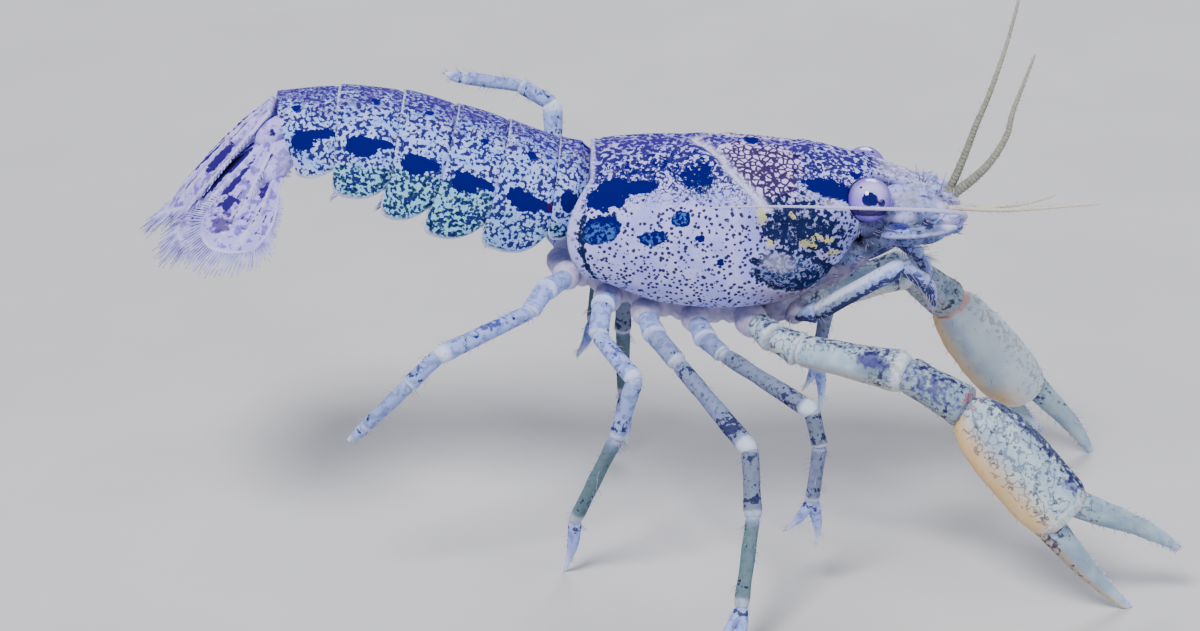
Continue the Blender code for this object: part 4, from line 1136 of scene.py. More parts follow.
    def paint(self, index: int, t: Points, s: Points, edge: Points) -> dict:
        """The painted marks of a ring.

        Args:
            index: the ring's number.
            t: shares of its length from front to rear.
            s: ways down from the back's middle.
            edge: how near each point is to the side plate's lower edge, from 0 to 1.

        Returns:
            Strengths by Mark.
        """
        length, drop = self.painted_lengths[index > 0], self.blotch_drops[index]
        blotch = np.maximum(patch(t * length, s, (0.56 * length, 3.15 + drop), (0.27 * length, 0.46)),
                            patch(t * length, s, (0.26 * length, 2.97 + drop), (0.26 * length, 0.21)))
        blotch = np.clip(1.6 * blotch - 0.3, 0.0, 1.0)
        down, behind = self.spots[index]
        blotch = np.maximum(blotch, patch(t * length, s, (behind * length, down), (0.20, 0.17)))
        purple = patch(t * length, s, (0.14, 3.55), (0.20, 0.20)) if index == 1 else 0.0
        top = 1.0 - ease(s, 0.8, 2.2)
        rim = np.maximum(edge, (0.10 + 0.50 * top) * ease(t, 0.968, 0.985) * (index < 5))
        return {Mark.BACK: np.clip(1.0 - s / 8.4, 0.0, 1.0), Mark.BLOTCH: blotch, Mark.PURPLE: purple,
                Mark.TEAL: self.greens[index] * ease(s, 3.4, 4.6), Mark.RIM: rim}

    def build(self) -> None:
        """Makes the rings, their paddles and the paddles' fringes."""
        fringe = Scatter("swimmeret_fringe", seed=11)
        paddles = Shape()
        for index in range(self.rings):
            self.segment(index)
            if 1 <= index <= 4:
                self.hang(index, paddles, fringe)
        dress(paddles.build("swimmerets"), FAN_FINISH, "underside")
        fringe.build(BRISTLE_FINISH, "underside")

    def hang(self, index: int, shape: Shape, fringe: Scatter) -> None:
        """Hangs a pair of two-bladed paddles under a ring.

        Args:
            index: the ring's number.
            shape: collects the paddles.
            fringe: collects their bristles.
        """
        back, rearward, upward, _, arch = (value[0] for value in self.station(np.array((index + 0.45,))))
        root = back - upward * (arch + self.belly_depth - 0.5)
        for side in Side:
            for lean, length in self.paddles:
                way = unit(rearward * 0.62 - upward * 0.80 + LEFTWARDS * side.value * lean)
                share = np.linspace(0.0, 1.0, 26)
                path = root + LEFTWARDS * side.value * self.paddle_out + np.outer(share * length * 0.94, way)
                wide = read_at(self.paddle_widths, share)[0]
                shape.add(tube(path, wide, np.minimum(wide * 0.45, 0.10), unit(np.cross(way, LEFTWARDS)), 14),
                          {Mark.PALE: ease(share, 0.5, 0.9)[:, None], Mark.RIM: 0.75})
                for k in range(6, 26):
                    for turn in (-1.0, 1.0):
                        out = LEFTWARDS * turn
                        fringe.add(path[k] + out * wide[k] * 0.9, out * 0.55 + way, 0.018, 0.26 * share[k])


@dataclass(frozen=True)
class Blade:
    """A tail blade: its solid's name, root, angles in degrees, length, half-widths, ribs and seam."""

    node: str
    root: tuple[float, float, float]
    spread: float
    slope: float
    roll: float
    length: float
    root_width: float
    full_width: float
    ribs: tuple[float, ...]
    suture: float = 0.0


@dataclass
class TailFan:
    """The middle blade and two blades on each side, with ribs, a seam and a fringe of bristles."""

    blades: tuple[Blade, ...] = (
        Blade("telson", (-17.00, 0.00, 4.85), 0.0, 45.0, 0.0, 6.30, 1.10, 1.62, (-0.6, 0.0, 0.6)),
        Blade("uropod_inner", (-16.95, 1.38, 3.70), 14.0, 45.0, 26.0, 5.30, 0.62, 1.54, (0.0,)),
        Blade("uropod_outer", (-16.85, 1.95, 2.50), 45.0, 45.0, 50.0, 4.15, 0.70, 1.52, (0.0, 0.55), 0.66))
    cup: float = 0.40
    half_thickness: float = 0.22
    rib_height: float = 0.16
    fringe: float = 1.38
    columns: int = 61
    side_bristles: int = 46
    end_bristles: int = 48
    carriers: tuple = (((-16.35, 1.45, 3.30), (0.25, -0.9), (1.05, 0.56, 0.70)),
                       ((-16.55, 1.80, 2.80), (0.6, -0.7), (0.80, 0.42, 0.52)),
                       ((-16.55, 0.90, 4.25), (0.1, -0.8), (1.00, 0.60, 0.62)))

    def sheet(self, blade: Blade, sign: float, share: Points, lateral: Points) -> tuple[Points, Points]:
        """Points on a blade's middle surface.

        Args:
            blade: the blade.
            sign: the side, 1 for left and -1 for right.
            share: shares of its length.
            lateral: places across it, from -1 to 1.

        Returns:
            The points, and the blade's directions along, across and upward as rows.
        """
        slope, spread = math.radians(blade.slope), math.radians(blade.spread) * sign
        rearward = np.array((-math.cos(slope), 0.0, -math.sin(slope)))
        upward = np.array((-math.sin(slope), 0.0, math.cos(slope)))
        along = rearward * math.cos(spread) + LEFTWARDS * math.sin(spread)
        across = LEFTWARDS * math.cos(spread) - rearward * math.sin(spread)
        roll = math.radians(blade.roll) * sign
        across, upward = (across * math.cos(roll) - upward * math.sin(roll),
                          upward * math.cos(roll) + across * math.sin(roll))
        grown = np.sin(np.clip(share / 0.62, 0.0, 1.0) * math.pi / 2)
        half = blade.root_width + (blade.full_width - blade.root_width) * grown
        half = half * (1.0 - 0.10 * np.clip((share - 0.62) / 0.38, 0.0, 1.0) ** 2)
        forward = share * blade.length * (1.0 - 0.24 * np.abs(share) * lateral**2)
        root = on_body(blade.root, sign)
        place = root + forward[..., None] * along + (half * lateral)[..., None] * across
        place = place - (self.cup * lateral**2 * share)[..., None] * upward
        return place, np.array((along, across, upward))

    def marks(self, blade: Blade, sign: float, share: Points, lateral: Points) -> dict:
        """The painted marks of a blade.

        Args:
            blade: the blade.
            sign: the side.
            share: shares of its length.
            lateral: places across it.

        Returns:
            Strengths by Mark.
        """
        inward = -lateral * sign
        if blade.node == "telson":
            dark = patches(share, np.abs(lateral), (
                ((0.20, 0.35), (0.15, 0.22)), ((0.42, 0.72), (0.16, 0.13)), ((0.66, 0.42), (0.10, 0.12)),
                ((0.50, 0.0), (0.20, 0.07))))
        elif blade.suture:
            dark = np.maximum(0.5 * hump(share, blade.suture, 0.03), patch(share, inward, (0.24, 0.28), (0.19, 0.22)))
            dark = np.maximum(dark, 0.8 * patch(share, inward, (0.16, -0.35), (0.12, 0.20)))
            dark = np.maximum(dark, 0.9 * patch(share, inward, (0.42, 0.50), (0.18, 0.22)))
        else:
            dark = patches(share, inward, (
                ((0.22, 0.45), (0.16, 0.30)), ((0.50, 0.50), (0.24, 0.22)), ((0.36, -0.30), (0.24, 0.14)),
                ((0.74, 0.05), (0.08, 0.12))))
        ribs = np.max([hump(lateral, rib * sign, 0.15) for rib in blade.ribs], axis=0)
        streaks = np.cos(lateral * 17.0) ** 6 * hump(share, 0.48, 0.46)
        dark = np.maximum(dark, 0.63 * streaks)
        rim = np.maximum(ease(np.abs(lateral), 0.88, 0.99), ease(share, 0.94, 1.0))
        smudge = 0.8 * patch(share, inward, (0.70, 0.25), (0.14, 0.36)) * float(blade.suture > 0.0)
        return {Mark.DARK: dark, Mark.PURPLE: smudge, Mark.PALE: ribs * (share < 0.9), Mark.RIM: rim}

    def make(self, blade: Blade, side: Optional[Side], fringe: Scatter) -> None:
        """Makes one blade and collects its fringe.

        Args:
            blade: the blade.
            side: its side, or None in the middle.
            fringe: collects its bristles.
        """
        sign = side.value if side else 1.0
        name = f"{blade.node}_{side.word}" if side else blade.node
        share = np.concatenate((np.linspace(-0.08, 0.88, 62)[:-1], np.linspace(0.88, 1.0, 14)))[:, None]
        lateral = np.sin(np.linspace(-1.0, 1.0, self.columns) * math.pi / 2)[None]
        share, lateral = np.broadcast_arrays(share, lateral)
        middle, (_, _, upward) = self.sheet(blade, sign, share, lateral)
        half = self.half_thickness * (1.0 - 0.82 * lateral**4) * (1.0 - 0.75 * ease(share, 0.7, 1.0))
        rib = np.sum([hump(lateral, r * sign, 0.17) for r in blade.ribs], axis=0)
        rib = rib * self.rib_height * np.clip(2.2 * (1.0 - share), 0.0, 1.0) * ease(share, -0.05, 0.1)
        ripple = 0.012 * np.sin(lateral * 88.0) * ease(share, 0.25, 0.7)
        seam = -0.09 * hump(share, blade.suture, 0.03) if blade.suture else 0.0
        top = middle + (half + rib + ripple + seam)[..., None] * upward
        low = middle - half[..., None] * upward
        grid = np.concatenate((top, low[:, ::-1]), axis=1)
        paint = self.marks(blade, sign, share, lateral)
        shape = Shape()
        shape.add(grid, {mark: np.hstack((value, value[:, ::-1])) for mark, value in paint.items()}, flat=True)
        dress(shape.build(f"{name}_blade"), FAN_FINISH, "tail_fan", name)
        self.edge_bristles(blade, sign, fringe)

    def edge_bristles(self, blade: Blade, sign: float, fringe: Scatter) -> None:
        """Roots bristles along a blade's sides and round its end.

        Args:
            blade: the blade.
            sign: the side.
            fringe: collects the bristles.
        """
        side = np.linspace(0.12, 1.0, self.side_bristles)
        end = np.linspace(-1.0, 1.0, self.end_bristles + 2)[1:-1]
        share = np.concatenate((side, np.ones(len(end)), side[::-1]))
        lateral = np.concatenate((-np.ones(len(side)), end, np.ones(len(side))))
        place, (along, across, upward) = self.sheet(blade, sign, share, lateral * 0.985)
        for k, (point, s, l) in enumerate(zip(place, share, lateral)):
            turn = math.radians(74.0) * l * (1.0 - 0.72 * ease(s, 0.80, 1.0))
            length = self.fringe * (0.30 + 0.70 * ease(s, 0.45, 0.98)) * (1.0 - 0.22 * l * l)
            lift = (-0.05, 0.05)[k % 2]
            way = along * math.cos(turn) + across * math.sin(turn) + upward * (lift + 0.05 * math.sin(k * 2.4))
            fringe.add(point + upward * lift * 0.5, way, 0.046, length * (0.90 + 0.10 * math.sin(k * 1.7)))

    def build(self) -> None:
        """Makes the five blades, the pieces that carry the outer ones, and the fringe."""
        fringe = Scatter("tail_fringe", variation=0.10, seed=3)
        carriers = Shape()
        for blade in self.blades:
            for side in (Side if blade.spread else (None,)):
                self.make(blade, side, fringe)
        for side in Side:
            for place, (out, down), radii in self.carriers:
                way = (-1.0, out * side.value, down)
                grid = wobble(ball(on_body(place, side.value), radii, way), 0.8, 0.05)
                spots = patches(grid[..., 0], grid[..., 2] - BODY_HEIGHT,
                                (((-16.6, 4.45), (0.14, 0.16)), ((-16.85, 3.6), (0.26, 0.26))))
                carriers.add(grid, {Mark.PALE: 0.3, Mark.DARK: spots})
        dress(carriers.build("fan_carriers"), FAN_FINISH, "tail_fan")
        fringe.build(FRINGE_FINISH, "tail_fan")


def cap_mark(direction: Points, pole: Points, angle: float) -> Points:
    """A round mark on a ball.

    Args:
        direction: unit directions from the ball's middle.
        pole: the mark's middle.
        angle: its reach in degrees.

    Returns:
        The mark's strength at each point.
    """
    away = np.degrees(np.arccos(np.clip(direction @ unit(pole), -1.0, 1.0)))
    return np.clip(1.0 - 0.5 * (away / angle) ** 2, 0.0, 1.0)


@dataclass
class Eyes:
    """Two round eyes on short stalks, with a dark pupil, a second spot, a painted highlight on the upper half and a
    painted shadow and reflection of the near feeler as a band below.
    """

    place: tuple[float, float, float] = (8.75, 1.98, 1.62)
    radius: float = 0.95
    stalk: tuple[float, float, float] = (8.15, 1.50, 1.40)
    pupil: tuple[float, float, float] = (-0.09, -0.92, 0.37)
    second: tuple[float, float, float] = (0.50, -0.85, 0.15)
    specks: Rows = ((-0.45, -0.5, 0.8), (0.3, -0.1, 1.0), (0.35, 0.30, 0.88), (-0.15, 0.50, 0.86),
                    (-0.1, 0.42, 0.90))

    def build(self) -> None:
        """Makes each eye with its stalk."""
        for side in Side:
            middle, root = on_body(self.place, side.value), on_body(self.stalk, side.value)
            globe = ball(middle, (self.radius,) * 3, (0.35, side.value, 0.25), 60, 72)
            seen = (globe - middle) / self.radius * (1.0, -side.value, 1.0)
            pupil = np.maximum(cap_mark(seen, self.pupil, 18.5), cap_mark(seen, (0.10, -0.93, 0.33), 15.0))
            pupil = np.maximum(pupil, cap_mark(seen, self.second, 11.0))
            lift, front = seen @ VIEW_UP, seen @ VIEW_FRONT
            # The band below the middle is a painted shadow and reflection of the near feeler, in the eye's purple.
            feeler_shadow_and_reflection = (1.0 - 0.5 * ((lift + 0.62 - 0.12 * seen[..., 0] ** 2) / 0.13) ** 2) * (front > -0.4)
            spots = np.max([cap_mark(seen, pole, 6.0) for pole in self.specks], axis=0)
            shape = Shape()
            # The upper half is made paler, a painted highlight.
            shape.add(globe, {Mark.DARK: pupil, Mark.PURPLE: np.maximum(np.clip(feeler_shadow_and_reflection, 0.0, 1.0), 0.7 * spots),
                              Mark.TEAL: 1.0 - ease(front, 0.35, 0.88), Mark.PALE: ease(lift, -0.1, 0.6)})
            shape.add(ball((middle + root) / 2.0, (0.85, 0.66, 0.62), middle - root), {Mark.PURPLE: 0.25})
            dress(shape.build(f"eye_{side.word}_ball"), EYE_FINISH, "eye", f"eye_{side.word}")


ARTICLE: Rows = ((-0.03, 0.50), (0.0, 0.70), (0.04, 0.83), (0.12, 0.88), (0.30, 0.88), (0.55, 0.91), (0.78, 0.97),
                 (0.90, 1.01), (0.96, 0.97), (1.0, 0.84), (1.035, 0.55))
TIP_ARTICLE: Rows = ((-0.03, 0.42), (0.0, 0.62), (0.05, 0.86), (0.15, 0.95), (0.35, 0.86), (0.60, 0.64),
                     (0.82, 0.40), (0.95, 0.24), (1.0, 0.12))


@dataclass
class Limb:
    """A jointed limb: its joints, radii, and the rings of its pieces."""

    joints: Points
    radii: Sequence[float]
    columns: int = 24
    flatten: float = 0.90
    wave: float = 0.035
    reference: tuple[float, float, float] = (0.0, 0.25, 1.0)

    def piece(self, index: int, last: bool = False, end: Optional[Points] = None,
              radii: Optional[tuple[float, float]] = None) -> tuple[Points, Points, Points]:
        """One piece between two joints.

        Args:
            index: the joint that it starts from.
            last: whether it tapers to a point.
            end: where it ends, if not at the next joint.
            radii: its radii at both ends, if not the limb's.

        Returns:
            Its grid, and the shares along it and the cosines round it at each point.
        """
        start = self.joints[index]
        end = self.joints[index + 1] if end is None else end
        first, final = radii or (self.radii[index], self.radii[index + 1])
        profile = TIP_ARTICLE if last else ARTICLE
        share = closer_at_ends(profile, 44)
        swell = read_at(profile, share)[0]
        radius = first * swell if last else (first + (final - first) * share) * swell
        path = start + np.outer(share, end - start)
        if last:
            bow = np.cross(end - start, LEFTWARDS) * 0.05
            path = path + np.outer(np.sin(np.clip(share, 0.0, 1.0) * math.pi), bow)
        grid = tube(path, radius, radius * self.flatten, np.array(self.reference), self.columns)
        grid = wobble(grid, 0.9, self.wave)
        turn = circle(self.columns)
        return grid, np.broadcast_to(share[:, None], grid.shape[:2]), np.broadcast_to(
            np.sin(turn)[None], grid.shape[:2])


def sprinkle(scatter: Scatter, grid: Points, count: int, length: float, reach: tuple[float, float] = (0.1, 0.95),
             thickness: float = 0.014, lean: float = 0.7) -> None:
    """Roots bristles all over a grid, evenly but not in rows.

    Args:
        scatter: collects the bristles.
        grid: the surface.
        count: how many there are.
        length: how long the longest is.
        reach: the first and the last share along the grid.
        thickness: their radius at the root.
        lean: how far they lean along the surface.
    """
    out = normals_of(grid)
    rows, columns = grid.shape[:2]
    for k in range(count):
        row = int((reach[0] + (reach[1] - reach[0]) * (k * ROW_STEP % 1.0)) * (rows - 1))
        column = int((k * COLUMN_STEP % 1.0) * columns)
        if grid[row, column, 2] < length:
            continue
        ahead = grid[min(row + 1, rows - 1), column] - grid[max(row - 1, 0), column]
        scatter.add(grid[row, column], out[row, column] + lean * unit(ahead), thickness,
                    length * (0.5 + 0.5 * (k * LENGTH_STEP % 1.0)))


def face_marks(grid: Points, pale: Points) -> dict:
    """The marks painted across the snout's pieces, placed as they are seen from the side.

    Args:
        grid: the piece's points.
        pale: the piece's own pale places. On the lobes and jaws they are their upper halves, a painted highlight.

    Returns:
        Strengths by Mark.
    """
    forward = grid[..., 0]
    height = grid[..., 2] - BODY_HEIGHT - VIEW_SLOPE * (np.abs(grid[..., 1]) - SNOUT_SIDE)

    def ovals(*places: tuple) -> Points:
        """The strongest of some painted ovals at each point."""
        return patches(forward, height, places)

    # A painted highlight streak along the snout, and pale places at its front end.
    light = ovals(((9.92, 0.80), (0.75, 0.15)), ((12.0, 1.35), (0.42, 0.20)), ((12.15, 0.50), (0.32, 0.26)))
    blue = ovals(((10.0, 0.44), (0.46, 0.20)), ((11.94, 1.92), (0.26, 0.09)), ((11.16, 1.78), (0.26, 0.10)))
    # Painted shade in the hollow under the eye.
    eye_hollow_shade = ovals(((8.70, 0.10), (0.80, 0.75)))
    return {Mark.BLOTCH: blue,
            Mark.DARK: np.maximum(ovals(((11.22, 0.48), (0.20, 0.24)), ((10.6, 1.62), (0.14, 0.14))), 0.30),
            Mark.CLEAR: np.maximum(ovals(((10.75, 0.50), (0.34, 0.40)), ((10.45, 1.70), (0.45, 0.36)),
                                         ((11.4, 0.30), (0.55, 0.42))), 0.85 * (1.0 - ease(height, -0.55, 0.15))),
            Mark.BROWN: eye_hollow_shade, Mark.PALE: np.maximum(light, pale * (1.0 - np.maximum(blue, eye_hollow_shade)))}


@dataclass
class Legs:
    """Four pairs of walking legs. The first two pairs end in small pincers."""

    joints: dict = field(default_factory=lambda: {
        (Side.RIGHT, 2): ((1.42, -1.65, 10.80), (1.84, -3.00, 10.40), (2.55, -3.80, 10.08), (6.24, -6.60, 8.64),
                          (6.59, -6.80, 7.12), (6.33, -6.40, 4.43), (6.60, -6.00, 2.18), (5.21, -6.20, 2.89)),
        (Side.RIGHT, 3): ((-0.73, -1.65, 11.10), (-0.35, -3.20, 10.67), (0.61, -4.60, 10.00), (3.57, -8.50, 7.69),
                          (3.68, -10.00, 5.30), (3.16, -12.00, 2.11), (2.95, -13.10, 0.02), (1.95, -12.90, 0.55)),
        (Side.RIGHT, 4): ((-2.36, -1.65, 11.75), (-2.60, -3.00, 12.00), (-2.78, -4.40, 11.16),
                          (-1.23, -6.40, 10.02), (-1.98, -6.20, 7.27), (-3.78, -4.80, 2.76), (-4.27, -4.20, 0.02)),
        (Side.RIGHT, 5): ((-4.15, -1.65, 12.75), (-5.04, -3.20, 12.78), (-5.67, -4.00, 12.10),
                          (-9.49, -6.60, 11.16), (-10.72, -6.90, 9.96), (-12.68, -6.40, 7.78), (-13.40, -6.20, 7.10)),
        (Side.LEFT, 2): ((1.42, 1.65, 10.80), (2.10, 3.00, 10.60), (3.10, 4.20, 10.60), (6.90, 6.60, 10.60),
                         (7.55, 5.40, 8.80), (6.95, 3.10, 7.00), (7.13, 2.90, 4.60), (6.35, 2.90, 5.57)),
        (Side.LEFT, 3): ((-0.73, 1.65, 11.10), (-0.50, 3.10, 10.90), (-0.60, 4.40, 10.70), (-1.60, 8.00, 8.60),
                         (-1.65, 8.90, 6.00), (-1.60, 8.60, 3.00), (-2.45, 8.00, 0.02), (-1.50, 8.10, 0.60)),
        (Side.LEFT, 4): ((-2.36, 1.65, 11.75), (-2.60, 3.00, 12.00), (-2.70, 4.30, 11.60), (-2.80, 7.20, 11.30),
                         (-2.75, 7.60, 9.40), (-3.00, 6.00, 7.60), (-3.75, 5.00, 6.30)),
        (Side.LEFT, 5): ((-4.15, 1.65, 12.75), (-4.60, 3.20, 13.00), (-4.70, 4.00, 13.90), (-4.80, 6.50, 17.80),
                         (-6.20, 7.20, 18.40), (-8.80, 7.75, 18.60), (-9.64, 7.80, 18.80)),
    })
    radii: tuple[float, ...] = (0.50, 0.53, 0.42, 0.44, 0.38, 0.31, 0.12)
    thumb_radii: tuple[float, float] = (0.29, 0.1)
    bristles: tuple = ((6, 0.2), (10, 0.25), (26, 0.3), (18, 0.3), (34, 0.42), (22, 0.34))
    tones: dict = field(default_factory=lambda: {
        2: ((0.1, 0.2, 0.46, 0.56, 0.40), (0.3, 0.6, 0.90, 1.0, 0.85)),
        3: ((0.1, 0.1, 0.74, 0.62, 0.20), (0.2, 0.6, 0.80, 0.95, 0.6)),
        4: ((0.1, 0.2, 0.30, 0.45, 0.20), (0.1, 0.1, 0.10, 0.25, 0.6)),
        5: ((0.1, 0.1, 0.30, 0.40, 0.20), (0.1, 0.1, 0.15, 0.20, 0.3))})

    def build(self) -> None:
        """Makes the eight legs and their bristles."""
        hairs = Scatter("leg_bristles", seed=19)
        for (side, pair), rows in self.joints.items():
            limb = Limb(np.array(rows), self.radii)
            shape = Shape()
            for index in range(6):
                grid, share, turn = limb.piece(index, last=index == 5)
                shape.add(grid, self.marks(index, pair, share, turn))
                sprinkle(hairs, grid, *self.bristles[index])
            if len(rows) == 8:
                grid, share, turn = limb.piece(5, True, np.array(rows[7]), self.thumb_radii)
                shape.add(grid, self.marks(5, pair, share, turn))
                sprinkle(hairs, grid, 18, 0.3)
            name = f"leg_{side.word}_{pair}"
            dress(shape.build(f"{name}_shell"), LEG_FINISH, "leg", *(f"{name}_{part}" for part in (
                "base", "thigh", "shank")))
        hairs.build(BRISTLE_FINISH, "leg")

    def marks(self, index: int, pair: int, share: Points, turn: Points) -> dict:
        """The painted marks of a leg's piece.

        Args:
            index: the piece's number.
            pair: the leg's pair.
            share: shares along it.
            turn: how far up each point faces, from -1 to 1.

        Returns:
            Strengths by Mark.
        """
        if index == 5:
            return {Mark.DARK: 0.6 * hump(share, 0.12, 0.12), Mark.PALE: ease(share, 0.45, 0.9)}
        knee = 0.9 if index == 2 else 0.6
        strong, grey = self.tones[pair][0][index], self.tones[pair][1][index]
        bands = np.maximum(strong * hump(share, 0.76, 0.22), 0.7 * strong * hump(share, 0.14, 0.12))
        streak = 0.50 * hump(share, 0.45, 0.42) * ease(turn, -0.2, 0.6) * (pair > 3) * (index in (2, 3))
        joint = knee * np.maximum(ease(share, 0.89, 0.94), 0.5 * (1.0 - ease(share, 0.02, 0.06)))
        green = 0.9 * ease(share, 0.0, 0.15) * (index == 4) * (pair in (3, 4))
        return {Mark.DARK: bands * (1.0 - joint), Mark.BLOTCH: streak, Mark.PALE: joint, Mark.CLEAR: grey,
                Mark.TEAL: green}


@dataclass
class Claws:
    """The two big claw limbs: three jointed pieces, a palm with its fixed finger, and a moving finger."""

    joints: dict = field(default_factory=lambda: {
        Side.RIGHT: ((3.83, -1.65, 10.75), (4.79, -3.00, 10.49), (5.84, -3.60, 10.19), (10.25, -5.40, 9.88),
                     (12.72, -6.60, 8.78), (16.81, -7.90, 4.52)),
        Side.LEFT: ((3.83, 1.65, 10.75), (4.80, 2.95, 10.35), (7.02, 3.40, 9.85), (10.90, 5.00, 10.58),
                    (12.99, 6.40, 8.49), (16.55, 8.60, 3.24)),
    })
    tips: dict = field(default_factory=lambda: {
        Side.RIGHT: ((19.90, -7.75, 0.02), (22.00, -6.60, 2.20)),
        Side.LEFT: ((17.60, 8.30, 1.27), (19.95, 8.60, 0.02)),
    })
    radii: tuple[float, ...] = (0.62, 0.74, 0.86, 0.98, 1.00)
    half_width: float = 1.60
    half_depth: float = 1.10
    palm: Rows = ((-0.03, 0.30), (0.0, 0.44), (0.05, 0.62), (0.14, 0.79), (0.38, 0.96), (0.70, 1.0), (0.90, 0.96),
                  (1.0, 0.84), (1.05, 0.62))
    palm_grid: tuple[int, int] = (60, 48)
    finger_grid: tuple[int, int] = (56, 28)
    finger_root: float = 0.49
    fixed_bow: float = 0.16
    moving_bow: float = 0.22
    fixed: tuple[float, ...] = (0.60, 0.66, 0.43, 0.06)
    moving: tuple[float, ...] = (0.52, 0.59, 0.42, 0.06)

    def arm(self, side: Side, hairs: Scatter) -> None:
        """Makes the limb's pieces up to the wrist.

        Args:
            side: the claw's side.
            hairs: collects the bristles.
        """
        limb = Limb(np.array(self.joints[side]), self.radii, 32, 0.92, 0.05)
        for index, name in ((0, "base"), (1, "base"), (2, "arm"), (3, "wrist")):
            grid, share, turn = limb.piece(index)
            joint = 0.8 * np.maximum(ease(share, 0.90, 0.95), 1.0 - ease(share, 0.02, 0.06))
            orange = (0.8 - 0.38 * (side is Side.RIGHT)) * ease(share, 0.93, 0.96) * (index == 3)
            dark = np.maximum(0.46 * ease(turn, 0.35, 0.9), 0.46 * hump(share, 0.80, 0.10))
            near = float(side is Side.RIGHT)
            clear = np.maximum(patch(share, turn, (0.38, -0.4), (0.30, 0.9)), 0.6 * (1.0 - near)) * (index == 2)
            teal = patch(share, turn, (0.74, 0.1), (0.16, 0.5)) * (index == 2) + 0.55 * (index == 3)
            violet = near * np.maximum(0.56 * patch(share, turn, (0.45, 0.45), (0.6, 1.2)) * (index == 3),
                                       patch(share, turn, (0.72, 0.4), (0.16, 0.4)) * (index == 2))
            shape = Shape()
            shape.add(grid, {Mark.DARK: dark * (1.0 - joint), Mark.PALE: 0.7 * joint * (index != 3),
                             Mark.PURPLE: orange * (0.5 + 0.5 * ease(turn, -0.5, 0.5)), Mark.TEAL: teal,
                             Mark.CLEAR: clear, Mark.BLOTCH: violet, Mark.YELLOW: 0.4 * ease(-turn, 0.2, 0.9)})
            nodes = () if index == 1 else (f"claw_{side.word}_{name}",)
            dress(shape.build(f"claw_{side.word}_{name}_{index}"), CLAW_FINISH, "claw", *nodes)
            sprinkle(hairs, grid, 40, 0.28)

    def hand(self, side: Side, hairs: Scatter, teeth: Scatter) -> None:
        """Makes the palm, its fixed finger and the moving finger.

        Args:
            side: the claw's side.
            hairs: collects the bristles.
            teeth: collects the fingers' teeth.
        """
        wrist, knuckle = (np.array(point) for point in self.joints[side][4:])
        fixed_tip, moving_tip = (np.array(point) for point in self.tips[side])
        along = unit(knuckle - wrist)
        spread = moving_tip - fixed_tip
        spread = unit(spread - along * (spread @ along))
        flat = np.cross(along, spread)
        rows, columns = self.palm_grid
        share = closer_at_ends(self.palm, rows)
        width = read_at(self.palm, share)[0]
        path = wrist + np.outer(share, knuckle - wrist)
        grid = tube(path, self.half_width * width, self.half_depth * (0.25 + 0.75 * width), flat, columns)
        grid = wobble(wobble(grid, 1.6, 0.07), 0.6, 0.03)
        turn = np.cos(circle(columns))[None] * np.ones((rows, 1))
        share = np.broadcast_to(share[:, None], turn.shape)
        joint = 1.0 - ease(share, 0.025, 0.065)
        shape = Shape()
        far = float(side is Side.LEFT)
        shape.add(grid, {Mark.DARK: (0.68 - 0.26 * far) * ease(turn, 0.40 + 0.2 * far, 0.90),
                         Mark.YELLOW: np.maximum(ease(-turn, 0.1 - 0.1 * far, 0.9),
                                                 far * patch(share, turn, (0.95, -0.3), (0.16, 0.7))),
                         Mark.PURPLE: (0.42 + 0.50 * far) * joint,
                         Mark.CLEAR: np.maximum(0.7 * ease(-turn, 0.5, 0.9), 0.85 * far),
                         Mark.BLOTCH: (0.6 - 0.2 * far) * patch(share, turn, (0.90, 0.7), (0.12, 0.3)),
                         Mark.PALE: np.maximum(0.5 * ease(share, 0.94, 1.0), 0.55 * far * ease(turn, -0.35, 0.3))})
        sprinkle(hairs, grid, 90, 0.30)
        for moving, tip, radii, bow, sign in ((False, fixed_tip, self.fixed, self.fixed_bow, -1.0),
                                              (True, moving_tip, self.moving, self.moving_bow, 1.0)):
            root = knuckle + spread * sign * self.finger_root * self.half_width + along * (0.25 if moving else 0.0)
            bend = root + (tip - root) * 0.55 + spread * sign * bow
            line = ((*(root - along * (0.55 if moving else 1.0)), radii[0]), (*root, radii[1]), (*bend, radii[2]),
                    (*(bend + (tip - bend) * 0.8 + spread * sign * bow * 0.4), radii[2] * 0.52), (*tip, radii[3]))
            steps, columns = self.finger_grid
            rows = smooth_rows(line, steps)
            finger = wobble(tube(rows[:, :3], rows[:, 3], rows[:, 3] * 0.86, flat, columns), 0.7, 0.03)
            place = np.broadcast_to(np.linspace(0.0, 1.0, steps)[:, None], finger.shape[:2])
            face = np.cos(circle(columns))[None] * np.ones((steps, 1)) * sign
            marks = {Mark.DARK: np.maximum(0.30 * ease(face, 0.3, 0.9) * (1.0 - ease(place, 0.5, 0.7)),
                                           (0.50 - 0.16 * moving) * hump(place, 0.30, 0.10)),
                     Mark.YELLOW: 0.0 if moving else 0.8 * ease(face, 0.2, 0.9),
                     Mark.CLEAR: ease(place, 0.24, 0.34), Mark.TEAL: 0.5 * hump(place, 0.42, 0.40),
                     Mark.PALE: ease(place, 0.72, 0.98)}
            target = Shape() if moving else shape
            target.add(finger, marks)
            sprinkle(hairs, finger, 60, 0.34, (0.3, 0.97))
            for k in range(12, 52, 3):
                size = 0.05 + 0.05 * (k % 2) + (0.05 if k in (21, 30) else 0.0)
                inner = rows[k, :3] - spread * sign * rows[k, 3] * 0.93
                teeth.add(inner, -spread * sign, size, size * 1.1)
            if moving:
                node = f"claw_{side.word}_finger"
                dress(target.build(f"{node}_shell"), CLAW_FINISH, "claw", node)
        node = f"claw_{side.word}_palm"
        dress(shape.build(f"{node}_shell"), CLAW_FINISH, "claw", node)

